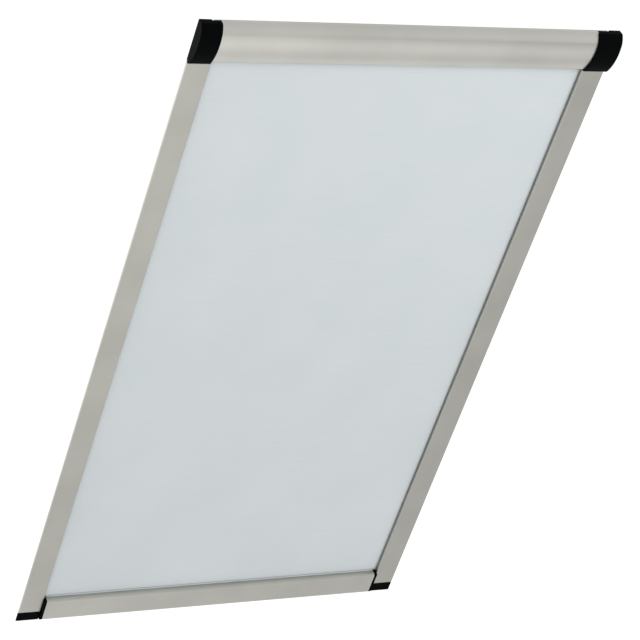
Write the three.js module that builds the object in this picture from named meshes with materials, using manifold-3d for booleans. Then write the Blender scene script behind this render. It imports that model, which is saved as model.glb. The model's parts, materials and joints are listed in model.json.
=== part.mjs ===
// A motorised roof-window blind: a cassette with a driven roller, two side channels,
// a taut fabric and a bottom bar that two cords pull down. Millimetres, +Z up the slope,
// +X to the right, the room side towards -Y. The blind is shown closed.
import * as THREE from 'three';
import { mergeVertices } from 'three/addons/utils/BufferGeometryUtils.js';
import Module from 'manifold-3d';

const wasm = await Module();
wasm.setup();

// Driving dimensions of the whole blind
const overallWidth = 660;
const overallHeight = 1115;
const cassetteHeight = 64;
const faceWidth = 36.5;
const bodyDepth = 26;
const sideInset = 19;
const topInset = 23;
const fabricSetback = 6.5;
const fabricThickness = 0.32;
const barHeight = 42.5;
const channelCapHeight = 17.5;

// Clearances
const seatGap = 0.3;
const runningGap = 0.2;
const overrun = 2;
const mergeDistance = 0.0001;

// Fineness of round shapes
const largeRoundSides = 32;
const smallRoundSides = 16;
const hexSides = 6;
const cordSides = 8;
const curveSteps = 6;

// Places that several pieces share, measured from the centre plane, the front faces and the sill
const halfWidth = overallWidth / 2;
const faceInner = halfWidth - faceWidth;
const bodyOuter = halfWidth - sideInset;
const cassetteBottom = overallHeight - cassetteHeight;
const fromTop = (drop) => overallHeight - drop;

// Side channel
const plateThickness = 2;
const channelWall = 1.6;
const channelOuterRound = 1.5;
const channelInnerRound = 0.6;
const slotFront = 4.5;
const slotRear = 8.5;
const cavityInner = faceInner + channelWall;
const cavityOuter = bodyOuter - channelWall;
const cavityRear = bodyDepth - channelWall;

// Cassette front cover
const cassetteBulge = 13.75;
const crownDrop = 27.5;
const faceRadius = 72;
const shoulderDrop = 16;
const topLipReach = 2.5;
const coverWall = 1.6;
const coverLowerRound = 3;
const coverLipReach = 1.2;

// Cassette end caps, proud of the cover; the right one holds the controls and is the wider
const capProud = 3;
const leftCapTrim = 5;
const rightCapOverlap = 2;

// Cassette back profile
const backWall = 1.6;
const portSize = 5;
const portHoleRadius = 1.3;
const upperPortFront = 19.4;
const lowerPortFront = 14.9;
const cordNotchWidth = 3;

// Roller, fabric roll and guide rod
const rollerSetback = 6.5;
const rollerDrop = 42;
const tubeRadius = 12.5;
const tubeWall = 1.2;
const fabricEdgeReach = 2;
const reserveTurns = 1.25;
const turnGap = 0.1;
const guideRodRadius = 2;
const guideRodDrop = 61.5;
const leadLapAngle = THREE.MathUtils.degToRad(60);

// Cords, spools and bottom pulleys
const cordRadius = 0.4;
const cordTurnRadius = 0.36;
const cordBedRadius = 13.5;
const spoolCoreRadius = 12.4;
const spoolFlangeRadius = 15.5;
const spoolFlangeWidth = 1;
const spoolPlugLength = 12;
const spoolWidth = 6;
const pulleyCordRadius = 5;
const pulleyRimHeight = 1;
const pulleyWidth = 3.6;
const pulleyGrooveBed = 1.2;
const pulleyGrooveMouth = 2.4;
const pulleyHeight = 9;
const pulleyPinRadius = 1.2;
const pulleyPinInset = 3.8;

// Brackets and their screws
const bracketThickness = 3.2;
const bracketNoseReach = 2.5;
const bracketNoseDrop = 12;
const bracketEarHeight = 6;
const tongueThickness = 1.7;
const tongueLength = 15;
const tongueFront = 4;
const tongueRear = 22;
const screwShankRadius = 1.1;
const screwHeadRadius = 2.3;
const screwHeadThickness = 1;
const screwLength = 10;

// Tubular motor
const motorRadius = 9.3;
const motorShell = 0.7;
const motorHeadRadius = 11;
const motorHeadThickness = 3.5;
const motorHeadNeck = 5;
const spigotRadius = 3.4;
const spigotLength = 2.3;
const batteryLength = 66;
const dcMotorLength = 42;
const dcMotorNose = 3;
const dcMotorNoseRadius = 4;
const endPlateThickness = 7;

// Planetary gears in the motor
const gearModule = 0.4;
const ringTeeth = 36;
const sunTeeth = 12;
const planetTeeth = 12;
const planetCount = 3;
const ringLength = 19.7;
const planetWidth = 9.5;
const carrierRadius = 6.4;
const carrierThickness = 3;
const planetPinRadius = 0.9;
const sunShaftRadius = 1;
const sunShaftLength = 12;
const addendumShare = 0.75;
const dedendumShare = 1.15;
const tipWidthShare = 0.24;
const rootWidthShare = 0.56;

// Output shaft and drive wheel
const outputShaftRadius = 3;
const driveWheelWidth = 10;
const driveWheelHoles = 6;
const driveWheelHoleRadius = 1.9;
const driveWheelHoleCircle = 7.2;

// Idler end with its tension spring
const idlerAxleRadius = 3;
const idlerAxleReach = 84;
const idlerShoulderRadius = 6;
const bushWall = 2;
const bushLength = 19.4;
const springMeanRadius = 6.5;
const springWireRadius = 0.7;
const springTurns = 10;
const springLength = 50;
const springSides = 5;
const springStepsPerTurn = 12;
const anchorThickness = 7;

// Bottom bar
const barFoot = 2.7;
const barReach = 4;
const barDepth = 15;
const barWall = 1.4;
const barFrontRound = 1.2;
const barEdgeRound = 1;
const barHollowHeight = 26.3;
const barCapWidth = 4.3;
const barPlugLength = 8;
const kederRadius = 2;
const kederChamberRadius = 2.3;
const kederSlotHalf = 0.7;
const kederDrop = 6;

// Guide shoes
const shoeFront = 2.6;
const shoeRear = 17.2;
const shoeOuterInset = 4.2;
const shoeRise = 2;
const shoeTopRise = 1;
const neckFront = 4.9;
const neckRear = 6.7;
const neckPocketDepth = 3;
const neckTopDrop = 3;

// Brush seals in the channel slots
const brushThickness = 1.1;
const brushWidth = 1.2;

// Electronics in the right end cap
const boardThickness = 1.2;
const boardSetForward = 6;
const boardTopDrop = 13;
const boardHeight = 40;
const boardInnerInset = 22;
const boardOuterInset = 4;
const chipSize = 7;
const chipThickness = 1;
const chipDrop = 22;
const switchSize = 4;
const switchThickness = 2.4;
const connectorLength = 6;
const connectorThickness = 2.6;
const connectorDrop = 47;
const socketWidth = 9;
const socketThickness = 3.2;
const socketDepth = 7.3;
const socketShell = 0.4;
const socketTongueThickness = 0.7;
const socketTongueShare = 0.7;
const socketDrop = 24;
const capEndWall = 1.8;
const capWall = 1.6;
const buttonRadius = 2.3;
const buttonDrop = 38;
const buttonTravel = 0.8;
const buttonFlange = 0.8;
const buttonFlangeThickness = 0.7;
const leadRadius = 1;
const leadBend = 1.6;
const leadSides = 8;
const leadSteps = 24;

// Finishes, with colours as they look in the light of the room
const finishes = {
  anodised: { color: 0xb7b7b1, roughness: 0.42, metalness: 0.85 },
  rawAluminium: { color: 0xa9aaa8, roughness: 0.5, metalness: 0.9 },
  blackPlastic: { color: 0x0c0f10, roughness: 0.38, metalness: 0 },
  greyPlastic: { color: 0x8b8e90, roughness: 0.5, metalness: 0 },
  whitePlastic: { color: 0xe4e4e0, roughness: 0.45, metalness: 0 },
  fabric: { color: 0xd2d7da, roughness: 0.9, metalness: 0 },
  cord: { color: 0xd9d9d2, roughness: 0.8, metalness: 0 },
  brush: { color: 0x6e7072, roughness: 0.95, metalness: 0 },
  steel: { color: 0x9a9c9e, roughness: 0.3, metalness: 1 },
  zincPlate: { color: 0xb9bcbf, roughness: 0.35, metalness: 1 },
  brass: { color: 0xb08d4a, roughness: 0.35, metalness: 1 },
  board: { color: 0x1d5a3a, roughness: 0.5, metalness: 0 },
  battery: { color: 0x2f6f9f, roughness: 0.4, metalness: 0 },
  leadRubber: { color: 0x1a1a1a, roughness: 0.6, metalness: 0 },
};

// Values worked out from the sizes above
const rollerHeight = fromTop(rollerDrop);
const fabricHalf = cavityInner + fabricEdgeReach;
const spoolCordRadius = cordBedRadius + runningGap / 2 + cordRadius;
const cordBack = rollerSetback + spoolCordRadius;
const pulleyBack = cordBack - pulleyCordRadius;
const returnBack = pulleyBack - pulleyCordRadius;
const bracketInner = bodyOuter + runningGap - bracketThickness;
const bracketOuter = bracketInner + bracketThickness;
const headInner = bracketInner - seatGap - motorHeadThickness;
const spoolOuter = headInner - seatGap;
const cordOut = spoolOuter - spoolWidth / 2;
const tubeHalf = spoolOuter - spoolWidth - seatGap;
const tubeBore = tubeRadius - tubeWall;
const rollInner = tubeRadius + turnGap;
const rollPitch = fabricThickness + turnGap;
const rollOuter = rollInner + fabricThickness + reserveTurns * rollPitch;
const guideCurveRadius = guideRodRadius + runningGap + fabricThickness / 2;
const guideRodBack = fabricSetback - guideCurveRadius;
const guideRodHeight = fromTop(guideRodDrop);
const shoeBottom = channelCapHeight + shoeRise;
const shoeTop = barHeight + shoeTopRise;
const barCapOuter = faceInner - seatGap;
const barCapInner = barCapOuter - barCapWidth;
const barHalf = barCapInner - runningGap;
const barFront = -barReach;
const barBack = barDepth - barReach;
const kederHeight = barHeight - kederDrop;
const channelTop = cassetteBottom - seatGap;

// Puts a named piece with its own material into a group
function piece(group, name, geometry, finish, position = [0, 0, 0]) {
  const mesh = new THREE.Mesh(geometry, new THREE.MeshStandardMaterial(finish));
  mesh.name = name;
  mesh.position.set(...position);
  group.add(mesh);
  return mesh;
}

// Turns a closed geometry into a solid that can be cut and joined
function solidOf(geometry) {
  const bare = geometry.clone();
  bare.deleteAttribute('normal');
  bare.deleteAttribute('uv');
  const merged = mergeVertices(bare, mergeDistance);
  const mesh = new wasm.Mesh({
    numProp: 3,
    vertProperties: new Float32Array(merged.attributes.position.array),
    triVerts: new Uint32Array(merged.index.array),
  });
  return new wasm.Manifold(mesh);
}

// Turns a solid back into a geometry
function geometryOf(solid) {
  const mesh = solid.getMesh();
  const geometry = new THREE.BufferGeometry();
  geometry.setAttribute('position', new THREE.BufferAttribute(mesh.vertProperties, mesh.numProp));
  geometry.setIndex(new THREE.BufferAttribute(mesh.triVerts, 1));
  geometry.computeVertexNormals();
  return geometry;
}

// Joins some geometries and then cuts others away
function built(joined, removed = []) {
  let solid = solidOf(joined[0]);
  for (const geometry of joined.slice(1)) {
    solid = solid.add(solidOf(geometry));
  }
  for (const geometry of removed) {
    solid = solid.subtract(solidOf(geometry));
  }
  return geometryOf(solid);
}

// A block between two corners, given as pairs along each axis in any order
function block([x0, x1], [y0, y1], [z0, z1]) {
  const geometry = new THREE.BoxGeometry(Math.abs(x1 - x0), Math.abs(y1 - y0), Math.abs(z1 - z0));
  return geometry.translate((x0 + x1) / 2, (y0 + y1) / 2, (z0 + z1) / 2);
}

// A section drawn in Y and Z, run across the blind between two places
const acrossAxes = new THREE.Matrix4().makeBasis(
  new THREE.Vector3(0, 1, 0),
  new THREE.Vector3(0, 0, 1),
  new THREE.Vector3(1, 0, 0),
);
function across(shape, x0, x1, steps = curveSteps) {
  const options = { depth: Math.abs(x1 - x0), bevelEnabled: false, curveSegments: steps };
  return new THREE.ExtrudeGeometry(shape, options).applyMatrix4(acrossAxes).translate(Math.min(x0, x1), 0, 0);
}

// A section drawn in X and Y, run up the blind between two heights
function upward(shape, z0, z1) {
  const options = { depth: z1 - z0, bevelEnabled: false, curveSegments: curveSteps };
  return new THREE.ExtrudeGeometry(shape, options).translate(0, 0, z0);
}

// A round bar along X, centred on a place in Y and Z
function barAcross(radius, x0, x1, y = 0, z = 0, sides = smallRoundSides) {
  const geometry = new THREE.CylinderGeometry(radius, radius, Math.abs(x1 - x0), sides);
  return geometry.rotateZ(-Math.PI / 2).translate((x0 + x1) / 2, y, z);
}

// A turned piece on the X axis, from pairs of radius and place that go round its section
function turned(section, sides = largeRoundSides) {
  const points = section.map(([radius, x]) => new THREE.Vector2(radius, x));
  if (THREE.ShapeUtils.area(points) < 0) {
    points.reverse();
  }
  points.push(points[0].clone());
  return new THREE.LatheGeometry(points, sides).rotateZ(-Math.PI / 2);
}

// A ring between two radii
function ring(inner, outer, x0, x1, sides = largeRoundSides) {
  return turned([[inner, x0], [outer, x0], [outer, x1], [inner, x1]], sides);
}

// The curved front of the cassette: a shoulder under the top edge, a wide face and a lower rounding
const faceCentre = { y: faceRadius - cassetteBulge, z: fromTop(crownDrop) };
const shoulderTilt = Math.asin((crownDrop - shoulderDrop) / faceRadius);
const shoulderEnd = {
  y: faceCentre.y - faceRadius * Math.cos(shoulderTilt),
  z: faceCentre.z + faceRadius * Math.sin(shoulderTilt),
};
const topEdge = { y: -topLipReach, z: overallHeight };
const shoulderChord = { y: topEdge.y - shoulderEnd.y, z: topEdge.z - shoulderEnd.z };
const shoulderRadius = (shoulderChord.y ** 2 + shoulderChord.z ** 2)
  / (2 * (shoulderChord.y * Math.cos(shoulderTilt) - shoulderChord.z * Math.sin(shoulderTilt)));
const shoulderCentre = {
  y: shoulderEnd.y + shoulderRadius * Math.cos(shoulderTilt),
  z: shoulderEnd.z - shoulderRadius * Math.sin(shoulderTilt),
};
const lowerCentreHeight = cassetteBottom + coverLowerRound;
const lowerTilt = Math.asin((faceCentre.z - lowerCentreHeight) / (faceRadius - coverLowerRound));
const lowerCentre = {
  y: faceCentre.y - (faceRadius - coverLowerRound) * Math.cos(lowerTilt),
  z: lowerCentreHeight,
};

// The three arcs of that front from a top height down, an inset behind the outer face
function frontArcs(inset, top = overallHeight - inset) {
  const radius = shoulderRadius - inset;
  const topAngle = Math.PI - Math.asin((top - shoulderCentre.z) / radius);
  const shoulderAngle = Math.PI - shoulderTilt;
  const lowerAngle = Math.PI + lowerTilt;
  return [
    { centre: shoulderCentre, radius, from: topAngle, to: shoulderAngle },
    { centre: faceCentre, radius: faceRadius - inset, from: shoulderAngle, to: lowerAngle },
    { centre: lowerCentre, radius: coverLowerRound - inset, from: lowerAngle, to: 1.5 * Math.PI },
  ];
}

// Draws the front from the top edge down to the lower rounding
function drawFront(shape, inset, top) {
  for (const { centre, radius, from, to } of frontArcs(inset, top)) {
    shape.absarc(centre.y, centre.z, radius, from, to, false);
  }
}

// Draws the same line from the lower rounding up to the top edge
function drawFrontBack(shape, inset) {
  for (const { centre, radius, from, to } of frontArcs(inset).reverse()) {
    shape.absarc(centre.y, centre.z, radius, to, from, true);
  }
}

// Front cover, a thin curved extrusion with a lip at the top and the bottom
function addCassetteCover(group) {
  const shape = new THREE.Shape();
  shape.moveTo(0, overallHeight - coverWall);
  shape.lineTo(0, overallHeight);
  drawFront(shape, 0);
  shape.lineTo(coverLipReach, cassetteBottom);
  shape.lineTo(coverLipReach, cassetteBottom + coverWall);
  drawFrontBack(shape, coverWall);
  const leftEnd = -capInner(-1) + runningGap;
  const rightEnd = capInner(1) - runningGap;
  piece(group, 'cassette_cover', across(shape, leftEnd, rightEnd), finishes.anodised);
}

// Where the cap on one side meets the cover, from the centre plane
function capInner(side) {
  return side > 0 ? faceInner - rightCapOverlap : faceInner + leftCapTrim;
}

// Back profile with its lapping flange, rear wall, lower lip and two screw ports
function addBackProfile(group) {
  const flangeTop = overallHeight - seatGap;
  const bodyTop = fromTop(topInset);
  const innerTop = bodyTop - backWall;
  const innerRear = bodyDepth - backWall;
  const lipTop = cassetteBottom + backWall;
  const half = bracketInner - seatGap;
  const shape = new THREE.Shape();
  shape.moveTo(seatGap, flangeTop);
  shape.lineTo(seatGap, innerTop);
  shape.lineTo(upperPortFront, innerTop);
  shape.lineTo(upperPortFront, innerTop - portSize);
  shape.lineTo(innerRear, innerTop - portSize);
  shape.lineTo(innerRear, lipTop);
  shape.lineTo(lowerPortFront + portSize, lipTop);
  shape.lineTo(lowerPortFront + portSize, lipTop + portSize);
  shape.lineTo(lowerPortFront, lipTop + portSize);
  shape.lineTo(lowerPortFront, cassetteBottom);
  shape.lineTo(bodyDepth, cassetteBottom);
  shape.lineTo(bodyDepth, bodyTop);
  shape.lineTo(plateThickness, bodyTop);
  shape.lineTo(plateThickness, flangeTop);
  for (const [y, z] of screwPlaces()) {
    const hole = new THREE.Path();
    hole.absarc(y, z, portHoleRadius, 0, 2 * Math.PI, false);
    shape.holes.push(hole);
  }
  const notches = [-1, 1].map((side) => block(
    [side * (cordOut - cordNotchWidth / 2), side * (cordOut + cordNotchWidth / 2)],
    [cordBack - cordNotchWidth / 2, cordBack + cordNotchWidth / 2],
    [cassetteBottom - overrun, lipTop + portSize + overrun],
  ));
  piece(group, 'cassette_back_profile', built([across(shape, -half, half)], notches), finishes.anodised);
}

// Centres of the two screw ports
function screwPlaces() {
  return [
    [upperPortFront + portSize / 2, fromTop(topInset) - backWall - portSize / 2],
    [lowerPortFront + portSize / 2, cassetteBottom + backWall + portSize / 2],
  ];
}

// Moulded end caps of the cassette, which reach down over the channels' upper ends;
// the right one has the socket slot and the button hole
function addCassetteEndCap(group, side) {
  const outline = new THREE.Shape();
  outline.moveTo(plateThickness, cassetteBottom);
  outline.lineTo(plateThickness, overallHeight);
  drawFront(outline, -capProud, overallHeight);
  outline.lineTo(-seatGap, cassetteBottom - capProud);
  outline.lineTo(-seatGap, cassetteBottom);
  const hollow = new THREE.Shape();
  hollow.moveTo(0, cassetteBottom + capWall);
  hollow.lineTo(0, overallHeight - capWall);
  drawFront(hollow, capWall);
  const openInner = capInner(side) - overrun;
  const removed = [
    across(hollow, side * openInner, side * (halfWidth - capEndWall)),
    block(
      [side * openInner, side * (bracketOuter + seatGap)],
      [0, plateThickness + overrun],
      [cassetteBottom - overrun, overallHeight + overrun],
    ),
  ];
  if (side > 0) {
    removed.push(
      block(
        [halfWidth - capEndWall - overrun, halfWidth + overrun],
        [socketFront() - runningGap, socketFront() + socketThickness + runningGap],
        [socketBottom() - runningGap, socketBottom() + socketWidth + runningGap],
      ),
      barAcross(
        buttonRadius + runningGap,
        halfWidth - capEndWall - overrun,
        halfWidth + overrun,
        buttonSetback(),
        fromTop(buttonDrop),
      ),
    );
  }
  const name = side > 0 ? 'cassette_end_cap_right' : 'cassette_end_cap_left';
  const body = across(outline, side * capInner(side), side * halfWidth);
  piece(group, name, built([body], removed), finishes.blackPlastic);
}

// End brackets, each with a forward nose, an ear round the guide rod, a tongue down into the channel
// and countersunk screw holes
function addBracket(group, side, name) {
  const plate = block(
    [side * bracketInner, side * bracketOuter],
    [plateThickness + seatGap, bodyDepth],
    [cassetteBottom, fromTop(topInset)],
  );
  const nose = block(
    [side * bracketInner, side * bracketOuter],
    [-bracketNoseReach, bodyDepth / 2],
    [rollerHeight - bracketNoseDrop, rollerHeight + bracketNoseDrop],
  );
  const ear = block(
    [side * bracketInner, side * bracketOuter],
    [seatGap, bodyDepth / 2],
    [cassetteBottom, cassetteBottom + bracketEarHeight],
  );
  const tongueOuter = cavityOuter - seatGap;
  const tongue = block(
    [side * (tongueOuter - tongueThickness), side * tongueOuter],
    [tongueFront, tongueRear],
    [cassetteBottom - tongueLength, cassetteBottom],
  );
  const tongueRoot = block(
    [side * bracketInner, side * tongueOuter],
    [tongueFront, tongueRear],
    [cassetteBottom - seatGap, cassetteBottom + bracketThickness],
  );
  const cutInner = side * (bracketInner - overrun);
  const cutOuter = side * (bracketOuter + overrun);
  const rodEnd = side * (bracketInner + bracketThickness / 2);
  const headSeat = side * (bracketOuter - screwHeadThickness - runningGap);
  const removed = [
    barAcross(spigotRadius + seatGap, cutInner, cutOuter, rollerSetback, rollerHeight),
    barAcross(guideRodRadius + runningGap, cutInner, rodEnd, guideRodBack, guideRodHeight),
  ];
  for (const [y, z] of screwPlaces()) {
    removed.push(
      barAcross(screwShankRadius + seatGap, cutInner, cutOuter, y, z),
      barAcross(screwHeadRadius + seatGap, headSeat, cutOuter, y, z),
    );
  }
  piece(group, name, built([plate, nose, ear, tongue, tongueRoot], removed), finishes.zincPlate);
}

function addBracketScrews(group, side, sideName) {
  const headOuter = bracketOuter;
  const headInnerFace = headOuter - screwHeadThickness;
  const section = [
    [0, headOuter],
    [screwHeadRadius, headOuter],
    [screwHeadRadius, headInnerFace],
    [screwShankRadius, headInnerFace],
    [screwShankRadius, headOuter - screwLength],
    [0, headOuter - screwLength],
  ].map(([radius, x]) => [radius, side * x]);
  screwPlaces().forEach(([y, z], index) => {
    const name = `bracket_screw_${sideName}_${index === 0 ? 'upper' : 'lower'}`;
    piece(group, name, turned(section, smallRoundSides), finishes.steel, [0, y, z]);
  });
}

// Side channel, a C section with a face plate that laps over the sash and a slot for the fabric
function addSideChannel(group, side, name) {
  const shape = new THREE.Shape();
  shape.moveTo(side * (faceInner + channelInnerRound), 0);
  shape.lineTo(side * (halfWidth - channelOuterRound), 0);
  shape.quadraticCurveTo(side * halfWidth, 0, side * halfWidth, channelOuterRound);
  shape.lineTo(side * halfWidth, plateThickness);
  shape.lineTo(side * bodyOuter, plateThickness);
  shape.lineTo(side * bodyOuter, bodyDepth);
  shape.lineTo(side * faceInner, bodyDepth);
  shape.lineTo(side * faceInner, slotRear);
  shape.lineTo(side * cavityInner, slotRear);
  shape.lineTo(side * cavityInner, cavityRear);
  shape.lineTo(side * cavityOuter, cavityRear);
  shape.lineTo(side * cavityOuter, plateThickness);
  shape.lineTo(side * cavityInner, plateThickness);
  shape.lineTo(side * cavityInner, slotFront);
  shape.lineTo(side * faceInner, slotFront);
  shape.lineTo(side * faceInner, channelInnerRound);
  shape.quadraticCurveTo(side * faceInner, 0, side * (faceInner + channelInnerRound), 0);
  piece(group, name, upward(shape, channelCapHeight, channelTop), finishes.anodised);
}

// Pile strip that closes the slot behind the fabric
function addBrushSeal(group, side, name) {
  const outer = cavityInner - runningGap / 2;
  const rear = slotRear - seatGap;
  const strip = block(
    [side * (outer - brushWidth), side * outer],
    [rear - brushThickness, rear],
    [channelCapHeight + seatGap, channelTop - seatGap],
  );
  piece(group, name, strip, finishes.brush);
}

// Moulded cap at the foot of a channel, forked for the cord pulley
function addChannelEndCap(group, side, name) {
  const top = channelCapHeight - seatGap;
  const shape = new THREE.Shape();
  shape.moveTo(side * faceInner, 0);
  shape.lineTo(side * (halfWidth - channelOuterRound), 0);
  shape.quadraticCurveTo(side * halfWidth, 0, side * halfWidth, channelOuterRound);
  shape.lineTo(side * halfWidth, plateThickness);
  shape.lineTo(side * bodyOuter, plateThickness);
  shape.lineTo(side * bodyOuter, bodyDepth);
  shape.lineTo(side * faceInner, bodyDepth);
  const ribOuter = cavityOuter - seatGap;
  const rib = block(
    [side * (ribOuter - tongueThickness), side * ribOuter],
    [tongueFront, tongueRear],
    [top - plateThickness, top + tongueLength / 2],
  );
  const pulleyRim = pulleyCordRadius + pulleyRimHeight;
  const pocketHalf = pulleyWidth / 2 + seatGap;
  const pocket = block(
    [side * (cordOut - pocketHalf), side * (cordOut + pocketHalf)],
    [pulleyBack - pulleyRim - 2 * seatGap, pulleyBack + pulleyRim + 2 * seatGap],
    [pulleyHeight - pulleyRim - 2 * seatGap, channelCapHeight + overrun],
  );
  const pinHole = barAcross(
    pulleyPinRadius + runningGap,
    side * (faceInner + pulleyPinInset - seatGap),
    side * (bodyOuter + overrun),
    pulleyBack,
    pulleyHeight,
  );
  piece(group, name, built([upward(shape, 0, top), rib], [pocket, pinHole]), finishes.blackPlastic);
}

function addPulleyPin(group, side, name) {
  const pin = barAcross(pulleyPinRadius, side * (faceInner + pulleyPinInset), side * (bodyOuter - seatGap));
  piece(group, name, pin, finishes.steel, [0, pulleyBack, pulleyHeight]);
}

function addPulley(group, side, name) {
  const rim = pulleyCordRadius + pulleyRimHeight;
  const bed = pulleyCordRadius - cordRadius - runningGap;
  const half = pulleyWidth / 2;
  const section = [
    [pulleyPinRadius + runningGap, -half],
    [rim, -half],
    [rim, -pulleyGrooveMouth / 2],
    [bed, -pulleyGrooveBed / 2],
    [bed, pulleyGrooveBed / 2],
    [rim, pulleyGrooveMouth / 2],
    [rim, half],
    [pulleyPinRadius + runningGap, half],
  ];
  const place = [side * cordOut, pulleyBack, pulleyHeight];
  piece(group, name, turned(section, smallRoundSides), finishes.whitePlastic, place);
}

// The half turn that a cord takes under its pulley
class PulleyTurn extends THREE.Curve {
  getPoint(share, target = new THREE.Vector3()) {
    const angle = -Math.PI * share;
    return target.set(0, pulleyCordRadius * Math.cos(angle), pulleyCordRadius * Math.sin(angle));
  }
}

// The round section of a cord, as a polygon
function roundSection(radius, sides) {
  const points = [];
  for (let index = 0; index < sides; index += 1) {
    const angle = 2 * Math.PI * (index + 0.5) / sides;
    points.push(new THREE.Vector2(radius * Math.cos(angle), radius * Math.sin(angle)));
  }
  return new THREE.Shape(points);
}

// Run of a cord from its spool down the channel and round the pulley, where tension thins it a little
function addDriveCord(group, side, name) {
  const turn = new THREE.ExtrudeGeometry(roundSection(cordTurnRadius, cordSides), {
    steps: 2 * curveSteps,
    bevelEnabled: false,
    extrudePath: new PulleyTurn(),
  });
  const run = new THREE.ExtrudeGeometry(roundSection(cordRadius, cordSides), {
    depth: rollerHeight - pulleyHeight + cordRadius,
    bevelEnabled: false,
  });
  run.translate(0, pulleyCordRadius, -cordRadius);
  piece(group, name, built([run, turn]), finishes.cord, [side * cordOut, pulleyBack, pulleyHeight]);
}

// Run of a cord from the pulley up to the guide shoe, short while the blind is closed
function addReturnCord(group, side, name) {
  const bottom = pulleyHeight + seatGap;
  const length = shoeBottom - seatGap - bottom;
  const run = new THREE.CylinderGeometry(cordRadius, cordRadius, length, cordSides).rotateX(Math.PI / 2);
  piece(group, name, run, finishes.cord, [side * cordOut, returnBack, bottom + length / 2]);
}

// Fabric between the guide rod and the bar, notched where it enters the bar
function addFabricSheet(group) {
  const top = guideRodHeight;
  const bottom = kederHeight + kederRadius + seatGap;
  const shoulder = shoeTop + seatGap;
  const neckHalf = barHalf - seatGap;
  const corners = [
    [-neckHalf, bottom],
    [neckHalf, bottom],
    [neckHalf, shoulder],
    [fabricHalf, shoulder],
    [fabricHalf, top],
    [-fabricHalf, top],
    [-fabricHalf, shoulder],
    [-neckHalf, shoulder],
  ];
  const shape = new THREE.Shape(corners.map(([x, z]) => new THREE.Vector2(x, z)));
  const geometry = new THREE.ExtrudeGeometry(shape, { depth: fabricThickness, bevelEnabled: false });
  geometry.rotateX(Math.PI / 2);
  piece(group, 'fabric_sheet', geometry, finishes.fabric, [0, fabricSetback + fabricThickness / 2, 0]);
}

// Fabric between the roll and the guide rod: off the front of the roll, across, and over the rod
function addFabricLead(group) {
  const rollRadius = rollOuter + seatGap + fabricThickness / 2;
  const toRodY = guideRodBack - rollerSetback;
  const toRodZ = guideRodHeight - rollerHeight;
  const spread = Math.acos((rollRadius + guideCurveRadius) / Math.hypot(toRodY, toRodZ));
  const leave = Math.atan2(toRodZ, toRodY) - spread;
  const meet = leave + Math.PI;
  const half = fabricThickness / 2;
  const start = leave - leadLapAngle;
  const shape = new THREE.Shape();
  shape.absarc(rollerSetback, rollerHeight, rollRadius - half, start, leave, false);
  shape.absarc(guideRodBack, guideRodHeight, guideCurveRadius + half, meet, 0, true);
  shape.absarc(guideRodBack, guideRodHeight, guideCurveRadius - half, 0, meet, false);
  shape.absarc(rollerSetback, rollerHeight, rollRadius + half, leave, start, true);
  const lead = across(shape, -fabricHalf, fabricHalf);
  piece(group, 'fabric_lead', lead, finishes.fabric, [0, 0, seatGap / 2]);
}

function addGuideRod(group) {
  const half = bracketInner + bracketThickness / 2 - seatGap;
  piece(group, 'guide_rod', barAcross(guideRodRadius, -half, half), finishes.rawAluminium, [
    0,
    guideRodBack,
    guideRodHeight,
  ]);
}

// Fixed parts of the motor: head, shell, battery, direct-current motor, ring gear and end plate
function addMotor(group) {
  const axis = [0, rollerSetback, rollerHeight];
  const shellBore = motorRadius - motorShell;
  const coreRadius = shellBore - seatGap;
  const headOuter = bracketInner - seatGap;
  const spigot = barAcross(spigotRadius, headOuter - overrun, headOuter + spigotLength, 0, 0, hexSides);
  const disc = barAcross(motorHeadRadius, headInner, headOuter, 0, 0, largeRoundSides);
  const neck = barAcross(coreRadius, headInner - motorHeadNeck, headInner + seatGap, 0, 0, largeRoundSides);
  piece(group, 'motor_head', built([disc, neck, spigot]), finishes.blackPlastic, axis);

  const batteryOuter = headInner - motorHeadNeck - seatGap;
  const batteryInner = batteryOuter - batteryLength;
  const battery = barAcross(coreRadius, batteryInner, batteryOuter, 0, 0, largeRoundSides);
  piece(group, 'battery_pack', battery, finishes.battery, axis);

  const motorOuter = batteryInner - seatGap;
  const motorInner = motorOuter - dcMotorLength;
  const shaftBore = sunShaftRadius + runningGap;
  const can = turned([
    [0, motorOuter],
    [coreRadius, motorOuter],
    [coreRadius, motorInner + dcMotorNose],
    [dcMotorNoseRadius, motorInner + dcMotorNose],
    [dcMotorNoseRadius, motorInner],
    [shaftBore, motorInner],
    [shaftBore, motorInner + sunShaftLength + seatGap],
    [0, motorInner + sunShaftLength + seatGap],
  ]);
  piece(group, 'dc_motor', can, finishes.steel, axis);

  const ringOuter = motorInner - seatGap;
  const ringInner = ringOuter - ringLength;
  const outline = new THREE.Shape();
  outline.absarc(0, 0, coreRadius, 0, 2 * Math.PI, false);
  outline.holes.push(new THREE.Path(gearPoints(ringTeeth, -1, 0)));
  const gear = across(outline, ringInner, ringOuter, largeRoundSides / 2);
  piece(group, 'ring_gear', gear, finishes.greyPlastic, axis);

  const plateOuter = ringInner - seatGap;
  const plateInner = plateOuter - endPlateThickness;
  const plate = ring(outputShaftRadius + runningGap, coreRadius, plateInner, plateOuter);
  piece(group, 'gearbox_end_plate', plate, finishes.greyPlastic, axis);

  const shell = ring(shellBore, motorRadius, plateInner, headInner - seatGap);
  piece(group, 'motor_housing', shell, finishes.zincPlate, axis);
  return { motorInner, ringInner, plateInner };
}

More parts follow.
